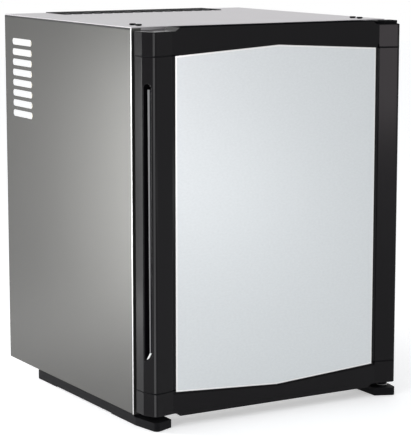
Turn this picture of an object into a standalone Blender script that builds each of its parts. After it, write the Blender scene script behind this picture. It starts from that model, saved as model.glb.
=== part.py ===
"""Minibar fridge with an absorption cooling unit, at its real size.

Metres, +Z up. The door faces -Y and its hinge is on the +X side. The origin
is on the floor, under the middle of the overall box.
"""

import math

import bmesh
import bpy
from mathutils import Matrix, Vector

# Overall size
WIDTH = 0.402
HEIGHT = 0.528
CASE_DEPTH = 0.393
SEAL_GAP = 0.008
DOOR_DEPTH = 0.032
FOOT_NOSE = 0.008

# Clearances
GAP = 0.0003
SLIDE_GAP = 0.0005
OVERCUT = 0.003

# Sheet-metal case
SHEET = 0.001
CASE_BOTTOM = 0.0135
FRONT_FLANGE = 0.014
REAR_FLANGE = 0.010
LID_THICK = 0.0012
LID_LIP = 0.0025
LID_REAR_DROP = 0.014

# Side ventilation slots
SLOT_COUNT = 8
SLOT_LENGTH = 0.066
SLOT_HEIGHT = 0.0094
SLOT_PITCH = 0.0151
SLOT_CORNER = 0.003
SLOT_FROM_BACK = 0.017
SLOT_TOP_DROP = 0.0392

# Top grille
GRILLE_COUNT = 16
GRILLE_MARGIN = 0.0735
GRILLE_WIDTH = 0.010
GRILLE_CORNER = 0.004
GRILLE_LENGTH = 0.045
GRILLE_FROM_BACK = 0.008

# Insulated box
SIDE_WALL = 0.034
FLOOR_WALL = 0.036
ROOF_WALL = 0.036
REAR_WALL = 0.035
BAY_DEPTH = 0.086
LINER_WALL = 0.0015
FRAME_DEPTH = 0.004

# Feet
FOOT_WIDTH = 0.036
FOOT_REACH = 0.294
FOOT_STEP = 0.002
FOOT_LIFT = 0.001
FOOT_KINK = 0.005
FOOT_CORNER_INSET = 0.007
FOOT_NOSE_FLAT = 0.006
FOOT_INNER_SETBACK = 0.010
FOOT_CORNER_RADIUS = 0.005
REAR_PAD_LENGTH = 0.059
FRONT_PAD_LENGTH = 0.113
FOOT_SCREW_RADIUS = 0.002
FOOT_SCREW_HEAD = 0.004
FOOT_SCREW_SINK = 0.006

# Door frame
DOOR_CLEARANCE = 0.0031
CAP_DROP = 0.0043
SEAM_DROP = 0.036
POST_FACE = 0.038
RAISED_INSET = 0.049
RAISED_SLOPE = 0.010
RIDGE_RISE = 0.007
RIDGE_INSET = 0.0085
RIDGE_RADIUS = 0.004
FACET_BACK = 0.0124
FACET_RADIUS = 0.0015
DOOR_WALL = 0.003
CORE_WALL = 0.004
POST_LEDGE = 0.011

# Silver panel and the recess it lies in
PANEL_PEAK = 0.009
PANEL_THICK = 0.0012
PANEL_SHADOW = 0.005
PANEL_SINK = 0.0028
RECESS_DEPTH = 0.0018

# Grip groove in the left post
GRIP_FRONT = 0.0005
GRIP_WIDTH = 0.0111
GRIP_DEPTH = 0.013
GRIP_START = 0.0427
GRIP_STOP = 0.035
GRIP_RAMP = 0.008
GRIP_ROUND = 0.005
TRIM_THICK = 0.0008
TRIM_WIDTH = 0.005
TRIM_INSET = 0.002

# Hinge
HINGE_INSET = 0.014
HINGE_SETBACK = 0.015
PIN_RADIUS = 0.003
BUSH_RADIUS = 0.007
BUSH_LENGTH = 0.014
WASHER_RADIUS = 0.008
WASHER_THICK = 0.0012
BRACKET_HALF = 0.010
BRACKET_NOSE = 0.009
BRACKET_THICK = 0.0022
BRACKET_REACH = 0.052
BRACKET_WIDE = 0.029
PLUG_LENGTH = 0.006
PLUG_DIP = 0.0015
PLUG_DIP_RADIUS = 0.005

# Lid screws
SCREW_INSET = 0.025
SCREW_SETBACK = 0.026
SCREW_SPACING = 0.017
SCREW_SHANK = 0.0019
SCREW_HEAD = 0.0042
SCREW_HEAD_RISE = 0.002

# Inner side of the door
LINER_INSET = 0.0093
LINER_PLATE = 0.0017
DYKE_SIDE_GAP = 0.012
DYKE_WALL = 0.010
DYKE_FLOOR_GAP = 0.0205
DYKE_ROOF_GAP = 0.018
DYKE_DEPTH = 0.022
SEAL_INSET = 0.017
SEAL_WIDTH = 0.014
SEAL_DROP = 0.010
TRAY_WALL = 0.002
TRAY_DEPTH = 0.052
UPPER_TRAY_DROP = 0.144
UPPER_TRAY_HEIGHT = 0.048
LOWER_TRAY_HEIGHT = 0.085
STOP_WIDTH = 0.012
STOP_WALL = 0.002
STOP_HEIGHT = 0.030
STOP_REACH = 0.032
STOP_FIN = 0.003

# Fittings in the cabinet
SHELF_RISE = 0.2205
SHELF_THICK = 0.004
SHELF_SETBACK = 0.062
SHELF_BACK_GAP = 0.012
SHELF_TRIM_LIP = 0.010
SHELF_TRIM_WALL = 0.002
LEDGE_WIDTH = 0.008
LEDGE_HEIGHT = 0.005
LAMP_HALF = 0.060
LAMP_HEIGHT = 0.024
LAMP_DEPTH = 0.055
LAMP_SETBACK = 0.070
LENS_HALF = 0.026
LENS_DEPTH = 0.036
LENS_THICK = 0.004
LENS_SINK = 0.002
DIAL_RADIUS = 0.009
DIAL_DEPTH = 0.005
DIAL_GRIP = 0.004
DIAL_GRIP_TOP = 0.008
DIAL_GRIP_BOTTOM = 0.0045
DIAL_X = 0.036
DIAL_SHAFT = 0.002
DIAL_SHAFT_LENGTH = 0.004

# Cooling unit
BOILER_INSET = 0.109
BOILER_RADIUS = 0.009
BOILER_RISE = 0.030
JACKET_HALF = 0.032
JACKET_LIFT = 0.030
JACKET_TOP_DROP = 0.198
HEATER_RADIUS = 0.006
HEATER_OFFSET = 0.019
HEATER_DROP = 0.012
HEATER_LENGTH = 0.120
VESSEL_RADIUS = 0.026
VESSEL_LIFT = 0.055
VESSEL_INSET = 0.076
VESSEL_TO_BOILER = 0.057
TUBE_RADIUS = 0.007
COIL_BEND = 0.018
BOILER_BEND = 0.030
EVAPORATOR_BEND = 0.012
CONDENSER_DROP = 0.042
CONDENSER_INSET = 0.123
FIN_COUNT = 12
FIN_MARGIN = 0.022
FIN_TO_BOILER = 0.0325
FIN_HALF = 0.022
FIN_THICK = 0.001
EVAPORATOR_DROP = 0.050
EVAPORATOR_TO_BOILER = 0.046
EVAPORATOR_SETBACK = 0.0125
PLATE_FIN_COUNT = 9
PLATE_FIN_PITCH = 0.018
PLATE_FIN_LENGTH = 0.020
PLATE_FIN_THICK = 0.0024
PLATE_FIN_HALF_HEIGHT = 0.040
COIL_LEVELS = 6
COIL_DROP = 0.051
COIL_TO_VESSEL = 0.085
COIL_INSET = 0.089
BRACE_RISE = 0.115
BRACE_HEIGHT = 0.024
BRACE_THICK = 0.002
STRAP_HALF = 0.022
STRAP_HEIGHT = 0.016
SADDLE_THICK = 0.012
SADDLE_HALF = 0.020
PAN_VENT_COUNT = 6
PAN_VENT_MARGIN = 0.101
PAN_VENT_HALF_WIDTH = 0.006
PAN_VENT_HALF_LENGTH = 0.026
BOX_WIDTH = 0.060
BOX_HALF_DEPTH = 0.026
BOX_HEIGHT = 0.085
INLET_HALF_WIDTH = 0.014
INLET_HALF_HEIGHT = 0.012
INLET_DEPTH = 0.008
INLET_WALL = 0.0025
INLET_PIN = 0.0012
INLET_PIN_PITCH = 0.006

ARC_STEPS = 4
TUBE_ROUNDNESS = 3
ROUND_SIDES = 20

# Planes across the depth, from the door's face to the back
HALF_WIDTH = WIDTH / 2
DOOR_Y = FOOT_NOSE - (FOOT_NOSE + DOOR_DEPTH + SEAL_GAP + CASE_DEPTH) / 2
DOOR_BACK = DOOR_Y + DOOR_DEPTH
CASE_Y = DOOR_BACK + SEAL_GAP
CASE_BACK = CASE_Y + CASE_DEPTH
PLATE_Y = CASE_BACK - BAY_DEPTH
LINER_BACK = PLATE_Y - REAR_WALL

# Places in the cabinet
LID_BOTTOM = HEIGHT - LID_THICK
SIDE_TOP = LID_BOTTOM - GAP
FOAM_TOP = LID_BOTTOM - LID_LIP - 2 * GAP
SHEET_INSIDE = HALF_WIDTH - SHEET - GAP
PAN_TOP = CASE_BOTTOM + SHEET + GAP
FOOT_TOP = CASE_BOTTOM - GAP
FOOT_FRONT_TOP = FOOT_TOP - FOOT_STEP
INNER_HALF = HALF_WIDTH - SIDE_WALL
INNER_BOTTOM = CASE_BOTTOM + FLOOR_WALL
INNER_TOP = HEIGHT - ROOF_WALL
SHELF_Z = INNER_BOTTOM + SHELF_RISE
DIAL_Y = CASE_Y + LAMP_SETBACK
DIAL_Z = INNER_TOP - LAMP_HEIGHT / 2

# Places in the door
RAIL_BOTTOM = FOOT_FRONT_TOP + DOOR_CLEARANCE
CAP_TOP = HEIGHT - CAP_DROP
CAP_BOTTOM = RAIL_BOTTOM + CAP_DROP
SEAM_TOP = HEIGHT - SEAM_DROP
SEAM_BOTTOM = RAIL_BOTTOM + SEAM_DROP
WINDOW_HALF = HALF_WIDTH - POST_FACE
PANEL_HALF = WINDOW_HALF - PANEL_SHADOW
POST_INNER = WINDOW_HALF - POST_LEDGE
RAISED_HALF = HALF_WIDTH - RAISED_INSET
GRIP_BOTTOM = SEAM_BOTTOM + GRIP_START
GRIP_TOP = SEAM_TOP - GRIP_STOP
SEAL_HALF = HALF_WIDTH - SEAL_INSET
LINER_HALF = HALF_WIDTH - LINER_INSET
LINER_Y = DOOR_BACK - LINER_PLATE
DYKE_HALF = INNER_HALF - DYKE_SIDE_GAP
DYKE_INNER = DYKE_HALF - DYKE_WALL
DYKE_BOTTOM = INNER_BOTTOM + DYKE_FLOOR_GAP
DYKE_TOP = INNER_TOP - DYKE_ROOF_GAP
TRAY_HALF = DYKE_INNER - GAP
TRAY_BACK = DOOR_BACK + GAP + TRAY_DEPTH
LOWER_TRAY_Z = DYKE_BOTTOM + DYKE_WALL + GAP
UPPER_TRAY_Z = DYKE_TOP - UPPER_TRAY_DROP

# Hinge axis and bracket
HINGE_X = HALF_WIDTH - HINGE_INSET
HINGE_Y = DOOR_Y + HINGE_SETBACK
BRACKET_RIGHT = HINGE_X + BRACKET_HALF
BRACKET_Z = LID_BOTTOM - GAP - BRACKET_THICK

# Places of the cooling unit
UNIT_Y = (PLATE_Y + SHEET + CASE_BACK) / 2
WALL_TUBE_END = PLATE_Y + SHEET + GAP
BOILER_X = HALF_WIDTH - BOILER_INSET
VESSEL_Z = PAN_TOP + VESSEL_LIFT
VESSEL_LEFT = VESSEL_INSET - HALF_WIDTH
VESSEL_RIGHT = BOILER_X - VESSEL_TO_BOILER
JACKET_BOTTOM = VESSEL_Z + JACKET_LIFT
JACKET_TOP = HEIGHT - JACKET_TOP_DROP
BOILER_TOP = JACKET_TOP + BOILER_RISE
CONDENSER_Z = HEIGHT - CONDENSER_DROP
CONDENSER_END = CONDENSER_INSET - HALF_WIDTH
FIN_START = CONDENSER_END + FIN_MARGIN
FIN_PITCH = (BOILER_X - FIN_TO_BOILER - FIN_START) / (FIN_COUNT - 1)
EVAPORATOR_Y = LINER_BACK - EVAPORATOR_SETBACK
EVAPORATOR_Z = CONDENSER_Z - EVAPORATOR_DROP
EVAPORATOR_RIGHT = BOILER_X - EVAPORATOR_TO_BOILER
COIL_RIGHT = EVAPORATOR_RIGHT
COIL_LEFT = COIL_INSET - HALF_WIDTH
COIL_TOP = EVAPORATOR_Z - COIL_DROP
COIL_PITCH = (COIL_TOP - VESSEL_Z - COIL_TO_VESSEL) / (COIL_LEVELS - 1)
BRACE_Z = JACKET_BOTTOM + BRACE_RISE

# Colour, roughness and metallic value of each finish
FINISHES = {
    "grey_paint": ((0.36, 0.36, 0.35), 0.35, 0.8),
    "pale_grey_paint": ((0.62, 0.61, 0.62), 0.4, 0.5),
    "black_gloss": ((0.018, 0.017, 0.02), 0.2, 0.0),
    "black_plastic": ((0.03, 0.03, 0.035), 0.5, 0.0),
    "black_rubber": ((0.015, 0.015, 0.015), 0.8, 0.0),
    "silver_sheet": ((0.72, 0.75, 0.76), 0.35, 0.6),
    "white_plastic": ((0.82, 0.82, 0.8), 0.4, 0.0),
    "clear_plastic": ((0.8, 0.85, 0.87), 0.15, 0.0),
    "foam": ((0.78, 0.72, 0.5), 0.9, 0.0),
    "zinc_steel": ((0.6, 0.6, 0.6), 0.4, 1.0),
    "bright_strip": ((0.5, 0.5, 0.52), 0.25, 1.0),
    "aluminium": ((0.75, 0.75, 0.76), 0.3, 1.0),
    "black_steel": ((0.03, 0.03, 0.03), 0.45, 0.6),
    "glass": ((0.75, 0.85, 0.82), 0.05, 0.0),
}


def clear_scene():
    """Removes what the scene holds."""
    for item in list(bpy.data.objects):
        bpy.data.objects.remove(item)


def finish_of(name, colour, roughness, metallic):
    """A new material whose Principled BSDF has the given values."""
    made = bpy.data.materials.new(name)
    made.use_nodes = True
    shader = made.node_tree.nodes["Principled BSDF"]
    shader.inputs["Base Color"].default_value = (*colour, 1.0)
    shader.inputs["Roughness"].default_value = roughness
    shader.inputs["Metallic"].default_value = metallic
    return made


def add_object(name, bm, finish):
    """Links a bmesh as an object with its own material and its faces outwards."""
    bmesh.ops.recalc_face_normals(bm, faces=bm.faces)
    mesh = bpy.data.meshes.new(name)
    bm.to_mesh(mesh)
    bm.free()
    item = bpy.data.objects.new(name, mesh)
    mesh.materials.append(finish_of(name, *FINISHES[finish]))
    bpy.context.scene.collection.objects.link(item)
    return item


def add_prism(bm, outline, axis, low, high):
    """Extrudes an outline, given in the other two axes in X, Y, Z order."""

    def at(point, along):
        first, second = point
        places = {"x": (along, first, second), "y": (first, along, second), "z": (first, second, along)}
        return places[axis]

    face = bm.faces.new([bm.verts.new(at(point, low)) for point in outline])
    out = bmesh.ops.extrude_face_region(bm, geom=[face])
    moved = [item for item in out["geom"] if isinstance(item, bmesh.types.BMVert)]
    bmesh.ops.translate(bm, verts=moved, vec=along_axis(axis, high - low))


def along_axis(axis, length):
    return Vector([length if axis == letter else 0.0 for letter in "xyz"])


def prism(name, outline, axis, low, high, finish):
    bm = bmesh.new()
    add_prism(bm, outline, axis, low, high)
    return add_object(name, bm, finish)


def add_block(bm, low, high):
    low, high = Vector(low), Vector(high)
    size = Matrix.Diagonal((*(high - low), 1.0))
    bmesh.ops.create_cube(bm, size=1.0, matrix=Matrix.Translation((low + high) / 2) @ size)


def blocks(name, corners, finish):
    """One object of boxes that stay apart, each from its low to its high corner."""
    bm = bmesh.new()
    for low, high in corners:
        add_block(bm, low, high)
    return add_object(name, bm, finish)


def block(name, low, high, finish):
    return blocks(name, [(low, high)], finish)


AXIS_TURNS = {
    "x": Matrix.Rotation(math.pi / 2, 4, "Y"),
    "y": Matrix.Rotation(-math.pi / 2, 4, "X"),
    "z": Matrix.Identity(4),
}


def add_rod(bm, start, length, radius, axis, sides=ROUND_SIDES):
    """A closed cylinder that runs from start along +axis."""
    middle = Vector(start) + along_axis(axis, length / 2)
    place = Matrix.Translation(middle) @ AXIS_TURNS[axis]
    bmesh.ops.create_cone(
        bm, cap_ends=True, segments=sides, radius1=radius, radius2=radius, depth=length, matrix=place
    )


def rods(name, runs, finish, sides=ROUND_SIDES):
    """One object of cylinders that stay apart, each (start, length, radius, axis)."""
    bm = bmesh.new()
    for start, length, radius, axis in runs:
        add_rod(bm, start, length, radius, axis, sides)
    return shade_round(add_object(name, bm, finish))


def evaluated_mesh(item):
    bpy.context.view_layer.update()
    graph = bpy.context.evaluated_depsgraph_get()
    return bpy.data.meshes.new_from_object(item.evaluated_get(graph), depsgraph=graph)


def combine(item, other, operation):
    """Applies one exact Boolean to an object and removes the other one."""
    change = item.modifiers.new("combine", "BOOLEAN")
    change.operation = operation
    change.solver = "EXACT"
    change.object = other
    mesh = evaluated_mesh(item)
    item.modifiers.clear()
    item.data = mesh
    mesh.materials.clear()
    mesh.materials.append(bpy.data.materials[item.name])
    bpy.data.objects.remove(other)
    return item


def cut(item, *others):
    for other in others:
        combine(item, other, "DIFFERENCE")
    return item


def join(item, *others):
    for other in others:
        combine(item, other, "UNION")
    return item


def shade_round(item, degrees=40):
    item.data.shade_smooth()
    item.data.set_sharp_from_angle(angle=math.radians(degrees))
    return item


def rounded_outline(corners):
    """An outline in which each (first, second, radius) corner is an arc."""
    points = []
    for i, (first, second, radius) in enumerate(corners):
        here = Vector((first, second))
        if radius == 0:
            points.append((first, second))
            continue
        back = (Vector(corners[i - 1][:2]) - here).normalized()
        ahead = (Vector(corners[(i + 1) % len(corners)][:2]) - here).normalized()
        half = back.angle(ahead) / 2
        centre = here + (back + ahead).normalized() * (radius / math.sin(half))
        start = here + back * (radius / math.tan(half)) - centre
        turn = math.pi - 2 * half
        if back.cross(ahead) > 0:
            turn = -turn
        for step in range(ARC_STEPS + 1):
            points.append(tuple(centre + Matrix.Rotation(turn * step / ARC_STEPS, 2) @ start))
    return points


def rounded_rectangle(low, high, radius):
    (left, bottom), (right, top) = low, high
    corners = [(left, bottom), (right, bottom), (right, top), (left, top)]
    return rounded_outline([(first, second, radius) for first, second in corners])


def to_side(outline, side):
    """A plan outline for the right-hand side, mirrored for the left one."""
    return [(side * x, y) for x, y in outline]


def rounded_path(points, radius):
    """A line through 3-D points with its corners rounded to a bend radius."""
    points = [Vector(point) for point in points]
    path = [points[0]]
    for before, corner, after in zip(points, points[1:], points[2:]):
        reach = min(radius, (before - corner).length / 2, (after - corner).length / 2)
        start = corner + (before - corner).normalized() * reach
        end = corner + (after - corner).normalized() * reach
        for i in range(ARC_STEPS + 1):
            t = i / ARC_STEPS
            point = start * (1 - t) ** 2 + corner * 2 * t * (1 - t) + end * t**2
            if (point - path[-1]).length > GAP:
                path.append(point)
    path.append(points[-1])
    return path


def bent_tube(name, corners, radius, bend, finish):
    """A round tube along a path, as a curve with a bevel and filled caps."""
    path = rounded_path(corners, bend)
    curve = bpy.data.curves.new(name, "CURVE")
    curve.dimensions = "3D"
    curve.bevel_depth = radius
    curve.bevel_resolution = TUBE_ROUNDNESS
    curve.use_fill_caps = True
    spline = curve.splines.new("POLY")
    spline.points.add(len(path) - 1)
    for target, point in zip(spline.points, path):
        target.co = (*point, 1.0)
    curve.materials.append(finish_of(name, *FINISHES[finish]))
    item = bpy.data.objects.new(name, curve)
    bpy.context.scene.collection.objects.link(item)
    return item


def side_panel(name, side):
    """Folded side sheet with a front and a rear flange, and its slots."""
    inside = HALF_WIDTH - SHEET
    plan = [
        (HALF_WIDTH - FRONT_FLANGE, CASE_Y),
        (HALF_WIDTH, CASE_Y),
        (HALF_WIDTH, CASE_BACK),
        (HALF_WIDTH - REAR_FLANGE, CASE_BACK),
        (HALF_WIDTH - REAR_FLANGE, CASE_BACK - SHEET),
        (inside, CASE_BACK - SHEET),
        (inside, CASE_Y + SHEET),
        (HALF_WIDTH - FRONT_FLANGE, CASE_Y + SHEET),
    ]
    panel = prism(name, to_side(plan, side), "z", CASE_BOTTOM, SIDE_TOP, "grey_paint")
    slots = bmesh.new()
    slot_back = CASE_BACK - SLOT_FROM_BACK
    low_x, high_x = sorted((side * (inside - OVERCUT), side * (HALF_WIDTH + OVERCUT)))
    for row in range(SLOT_COUNT):
        middle = HEIGHT - SLOT_TOP_DROP - row * SLOT_PITCH
        low = (slot_back - SLOT_LENGTH, middle - SLOT_HEIGHT / 2)
        high = (slot_back, middle + SLOT_HEIGHT / 2)
        add_prism(slots, rounded_rectangle(low, high, SLOT_CORNER), "x", low_x, high_x)
    return cut(panel, add_object("slots", slots, "grey_paint"), bracket_notch(side))


def bracket_notch(side):
    """Room above the front edge of the case for a hinge bracket."""
    low_x, high_x = sorted((side * (BRACKET_RIGHT + GAP), side * (BRACKET_RIGHT - BRACKET_WIDE - GAP)))
    low = (low_x, CASE_Y - OVERCUT, BRACKET_Z - GAP)
    high = (high_x, CASE_Y + OVERCUT, LID_BOTTOM)
    return block("notch", low, high, "grey_paint")


def lid_screw_places():
    """Centres of the four lid screws, two behind each front corner."""
    return [
        (side * (HALF_WIDTH - SCREW_INSET), CASE_Y + setback)
        for side in (-1, 1)
        for setback in (SCREW_SETBACK, SCREW_SETBACK + SCREW_SPACING)
    ]


def lid_rear_lip():
    """Deep lip that closes the top of the bay behind the lid's slots."""
    half = HALF_WIDTH - REAR_FLANGE - GAP
    low = (-half, CASE_BACK - SHEET, HEIGHT - LID_REAR_DROP)
    return block("rear_lip", low, (half, CASE_BACK, LID_BOTTOM + LID_THICK / 2), "pale_grey_paint")


def top_panel():
    """Lid with turned-down lips inside the case and vent slots at its rear."""
    low_y, high_y = CASE_Y + SHEET + GAP, CASE_BACK - SHEET - GAP
    corner = (HALF_WIDTH, CASE_BACK, HEIGHT)
    lid = block("top_panel", (-HALF_WIDTH, CASE_Y, LID_BOTTOM), corner, "pale_grey_paint")
    lips = block(
        "lips",
        (-SHEET_INSIDE, low_y, LID_BOTTOM - LID_LIP),
        (SHEET_INSIDE, high_y, LID_BOTTOM + LID_THICK / 2),
        "pale_grey_paint",
    )
    hollow = block(
        "hollow",
        (-SHEET_INSIDE + SHEET, low_y + SHEET, LID_BOTTOM - LID_LIP - OVERCUT),
        (SHEET_INSIDE - SHEET, high_y - SHEET, HEIGHT),
        "pale_grey_paint",
    )
    slots = bmesh.new()
    back = CASE_BACK - GRILLE_FROM_BACK
    pitch = (WIDTH - 2 * GRILLE_MARGIN) / (GRILLE_COUNT - 1)
    for i in range(GRILLE_COUNT):
        x = (i - (GRILLE_COUNT - 1) / 2) * pitch
        low = (x - GRILLE_WIDTH / 2, back - GRILLE_LENGTH)
        high = (x + GRILLE_WIDTH / 2, back)
        outline = rounded_rectangle(low, high, GRILLE_CORNER)
        add_prism(slots, outline, "z", LID_BOTTOM - OVERCUT, HEIGHT + OVERCUT)
    low_z, length = LID_BOTTOM - OVERCUT, LID_THICK + 2 * OVERCUT
    runs = [((x, y, low_z), length, SCREW_SHANK + GAP, "z") for x, y in lid_screw_places()]
    holes = rods("holes", runs, "pale_grey_paint")
    join(lid, cut(lips, hollow, bracket_notch(-1), bracket_notch(1)), lid_rear_lip())
    return cut(lid, add_object("grille", slots, "pale_grey_paint"), holes)


def lid_screws():
    """Four dark screws with low round heads on the lid."""
    shank_low = BRACKET_Z + GAP
    for number, (x, y) in enumerate(lid_screw_places(), 1):
        shank = [((x, y, shank_low), HEIGHT + 2 * GAP - shank_low, SCREW_SHANK, "z")]
        screw = rods(f"lid_screw_{number}", shank, "black_steel", 12)
        head = [((x, y, HEIGHT + GAP), SCREW_HEAD_RISE, SCREW_HEAD, "z")]
        shade_round(join(screw, rods("head", head, "black_steel", 16)))


def bottom_pan():
    """Base sheet with vents under the cooling unit."""
    low = (-SHEET_INSIDE, CASE_Y + SHEET + GAP, CASE_BOTTOM)
    high = (SHEET_INSIDE, CASE_BACK - SHEET - GAP, CASE_BOTTOM + SHEET)
    vents = []
    pitch = (WIDTH - 2 * PAN_VENT_MARGIN) / (PAN_VENT_COUNT - 1)
    for i in range(PAN_VENT_COUNT):
        x = (i - (PAN_VENT_COUNT - 1) / 2) * pitch
        vent_low = (x - PAN_VENT_HALF_WIDTH, UNIT_Y - PAN_VENT_HALF_LENGTH, CASE_BOTTOM - OVERCUT)
        vent_high = (x + PAN_VENT_HALF_WIDTH, UNIT_Y + PAN_VENT_HALF_LENGTH, CASE_BOTTOM + OVERCUT)
        vents.append((vent_low, vent_high))
    return cut(block("bottom_pan", low, high, "zinc_steel"), blocks("vents", vents, "zinc_steel"))


def wall_tube_holes():
    """Cutter for the two places where the evaporator tube passes the wall."""
    length = CASE_BACK - EVAPORATOR_Y
    starts = [(x, EVAPORATOR_Y, EVAPORATOR_Z) for x in (CONDENSER_END, EVAPORATOR_RIGHT)]
    return rods("wall_holes", [(start, length, TUBE_RADIUS + GAP, "y") for start in starts], "foam", 24)


def rear_plate():
    """Sheet between the insulation and the cooling unit's bay."""
    low = (-SHEET_INSIDE, PLATE_Y, PAN_TOP)
    high = (SHEET_INSIDE, PLATE_Y + SHEET, FOAM_TOP)
    return cut(block("rear_plate", low, high, "zinc_steel"), wall_tube_holes())


def liner_box(name, grow, front, back, finish):
    """A box that is larger than the cabinet's inside by one amount all round."""
    low = (-INNER_HALF - grow, front, INNER_BOTTOM - grow)
    high = (INNER_HALF + grow, back, INNER_TOP + grow)
    return block(name, low, high, finish)


def foam_insulation():
    """Insulation between the liner and the outer sheets."""
    low = (-SHEET_INSIDE, CASE_Y + FRAME_DEPTH + GAP, PAN_TOP)
    high = (SHEET_INSIDE, PLATE_Y - GAP, FOAM_TOP)
    hollow = liner_box("hollow", LINER_WALL + GAP, CASE_Y, LINER_BACK + LINER_WALL + GAP, "foam")
    return cut(block("foam_insulation", low, high, "foam"), hollow, wall_tube_holes())


def front_frame():
    """Flat frame round the mouth of the liner, where the door seal closes."""
    half = HALF_WIDTH - FRONT_FLANGE - GAP
    low = (-half, CASE_Y, PAN_TOP)
    high = (half, CASE_Y + FRAME_DEPTH, FOAM_TOP)
    hollow = liner_box("hollow", LINER_WALL + GAP, CASE_Y - OVERCUT, CASE_Y + 2 * FRAME_DEPTH, "foam")
    return cut(block("front_frame", low, high, "black_plastic"), hollow)


def ledge_start():
    """Front end of the shelf ledges, just behind the shelf's trim."""
    return CASE_Y + SHELF_SETBACK - SHELF_TRIM_WALL + SHELF_TRIM_LIP + GAP


def inner_liner():
    """White inner box with a ledge on each side for the shelf."""
    liner = liner_box("inner_liner", LINER_WALL, CASE_Y, LINER_BACK + LINER_WALL, "white_plastic")
    hollow = liner_box("hollow", 0, CASE_Y - OVERCUT, LINER_BACK, "white_plastic")
    cut(liner, hollow)
    ledges = []
    for side in (-1, 1):
        low_x, high_x = sorted((side * (INNER_HALF - LEDGE_WIDTH), side * (INNER_HALF + LINER_WALL / 2)))
        low = (low_x, ledge_start(), SHELF_Z - GAP - LEDGE_HEIGHT)
        high = (high_x, LINER_BACK + LINER_WALL / 2, SHELF_Z - GAP)
        ledges.append((low, high))
    return cut(join(liner, blocks("ledges", ledges, "white_plastic")), wall_tube_holes())


def foot_plan():
    """Plan of the right-hand foot rail, pointed at its front like the door post."""
    inner = HALF_WIDTH - FOOT_WIDTH
    nose = DOOR_Y - FOOT_NOSE
    return rounded_outline(
        [
            (inner, CASE_Y + FOOT_REACH, 0),
            (inner, nose + FOOT_INNER_SETBACK, 0),
            (HALF_WIDTH - FOOT_CORNER_INSET - FOOT_NOSE_FLAT, nose, FOOT_CORNER_RADIUS),
            (HALF_WIDTH - FOOT_CORNER_INSET, nose, FOOT_CORNER_RADIUS),
            (HALF_WIDTH, CASE_Y - FOOT_KINK, FOOT_CORNER_RADIUS),
            (HALF_WIDTH, CASE_Y + FOOT_REACH, 0),
        ]
    )


def foot_screw_places(side):
    x = side * (HALF_WIDTH - FOOT_WIDTH / 2)
    return [(x, CASE_Y + FRONT_PAD_LENGTH - FOOT_WIDTH), (x, CASE_Y + FOOT_REACH - FOOT_WIDTH)]


def foot_rail(name, side):
    """Moulded foot rail with a front and a rear pad, and its screw holes."""
    nose = DOOR_Y - FOOT_NOSE
    rail = prism(name, to_side(foot_plan(), side), "z", 0, FOOT_TOP, "black_plastic")
    low_x, high_x = sorted((side * (HALF_WIDTH - FOOT_WIDTH - OVERCUT), side * (HALF_WIDTH + OVERCUT)))
    step = block(
        "step",
        (low_x, nose - OVERCUT, FOOT_FRONT_TOP),
        (high_x, CASE_Y - GAP, CASE_BOTTOM + OVERCUT),
        "black_plastic",
    )
    lift = block(
        "lift",
        (low_x, nose + FRONT_PAD_LENGTH, -OVERCUT),
        (high_x, CASE_Y + FOOT_REACH - REAR_PAD_LENGTH, FOOT_LIFT),
        "black_plastic",
    )
    starts = [(x, y, -OVERCUT) for x, y in foot_screw_places(side)]
    sinks = [(start, OVERCUT + FOOT_SCREW_SINK, FOOT_SCREW_HEAD + GAP, "z") for start in starts]
    holes = [(start, CASE_BOTTOM + 2 * OVERCUT, FOOT_SCREW_RADIUS + GAP, "z") for start in starts]
    cut(rail, step, lift, rods("sinks", sinks, "black_plastic"), rods("holes", holes, "black_plastic", 12))
    if side > 0:
        pin_hole = [((HINGE_X, HINGE_Y, -OVERCUT), CASE_BOTTOM + OVERCUT, PIN_RADIUS + GAP, "z")]
        cut(rail, rods("pin_hole", pin_hole, "black_plastic"))
    return rail


def foot_screws():
    """Screws that hold the foot rails to the base sheet, heads in their sinks."""
    low = FOOT_SCREW_SINK - GAP - FOOT_SCREW_RADIUS
    for number, (x, y) in enumerate(foot_screw_places(-1) + foot_screw_places(1), 1):
        shank = [((x, y, low), FOOT_TOP - low, FOOT_SCREW_RADIUS, "z")]
        screw = rods(f"foot_screw_{number}", shank, "zinc_steel", 12)
        head = [((x, y, low), FOOT_SCREW_RADIUS, FOOT_SCREW_HEAD, "z")]
        shade_round(join(screw, rods("head", head, "zinc_steel", 16)))


def top_hinge_bracket():
    """Plate under the lid that carries the top pin over the door's corner."""
    left = BRACKET_RIGHT - BRACKET_WIDE
    back = CASE_Y + BRACKET_REACH
    plan = [
        (HINGE_X - BRACKET_HALF, HINGE_Y - BRACKET_NOSE),
        (BRACKET_RIGHT, HINGE_Y - BRACKET_NOSE),
        (BRACKET_RIGHT, back),
        (left, back),
        (left, CASE_Y),
        (HINGE_X - BRACKET_HALF, CASE_Y),
    ]
    plate = prism("top_hinge_bracket", plan, "z", BRACKET_Z, LID_BOTTOM - GAP, "black_steel")
    boss = block(
        "boss",
        (HINGE_X - BRACKET_HALF, HINGE_Y - BRACKET_NOSE, CAP_TOP + GAP),
        (BRACKET_RIGHT, HINGE_Y + BRACKET_NOSE, HEIGHT),
        "black_steel",
    )
    low_z, length = CAP_TOP - OVERCUT, CAP_DROP + 2 * OVERCUT
    pin_hole = [((HINGE_X, HINGE_Y, low_z), length, PIN_RADIUS + GAP, "z")]
    starts = [(x, y, low_z) for x, y in lid_screw_places() if x > 0]
    screw_holes = [(start, length, SCREW_SHANK + GAP, "z") for start in starts]
    cut(join(plate, boss), rods("pin_hole", pin_hole, "black_steel"))
    return cut(plate, rods("screw_holes", screw_holes, "black_steel", 12))


def hinge_pin(name, low, high):
    return rods(name, [((HINGE_X, HINGE_Y, low), high - low, PIN_RADIUS, "z")], "zinc_steel")


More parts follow.
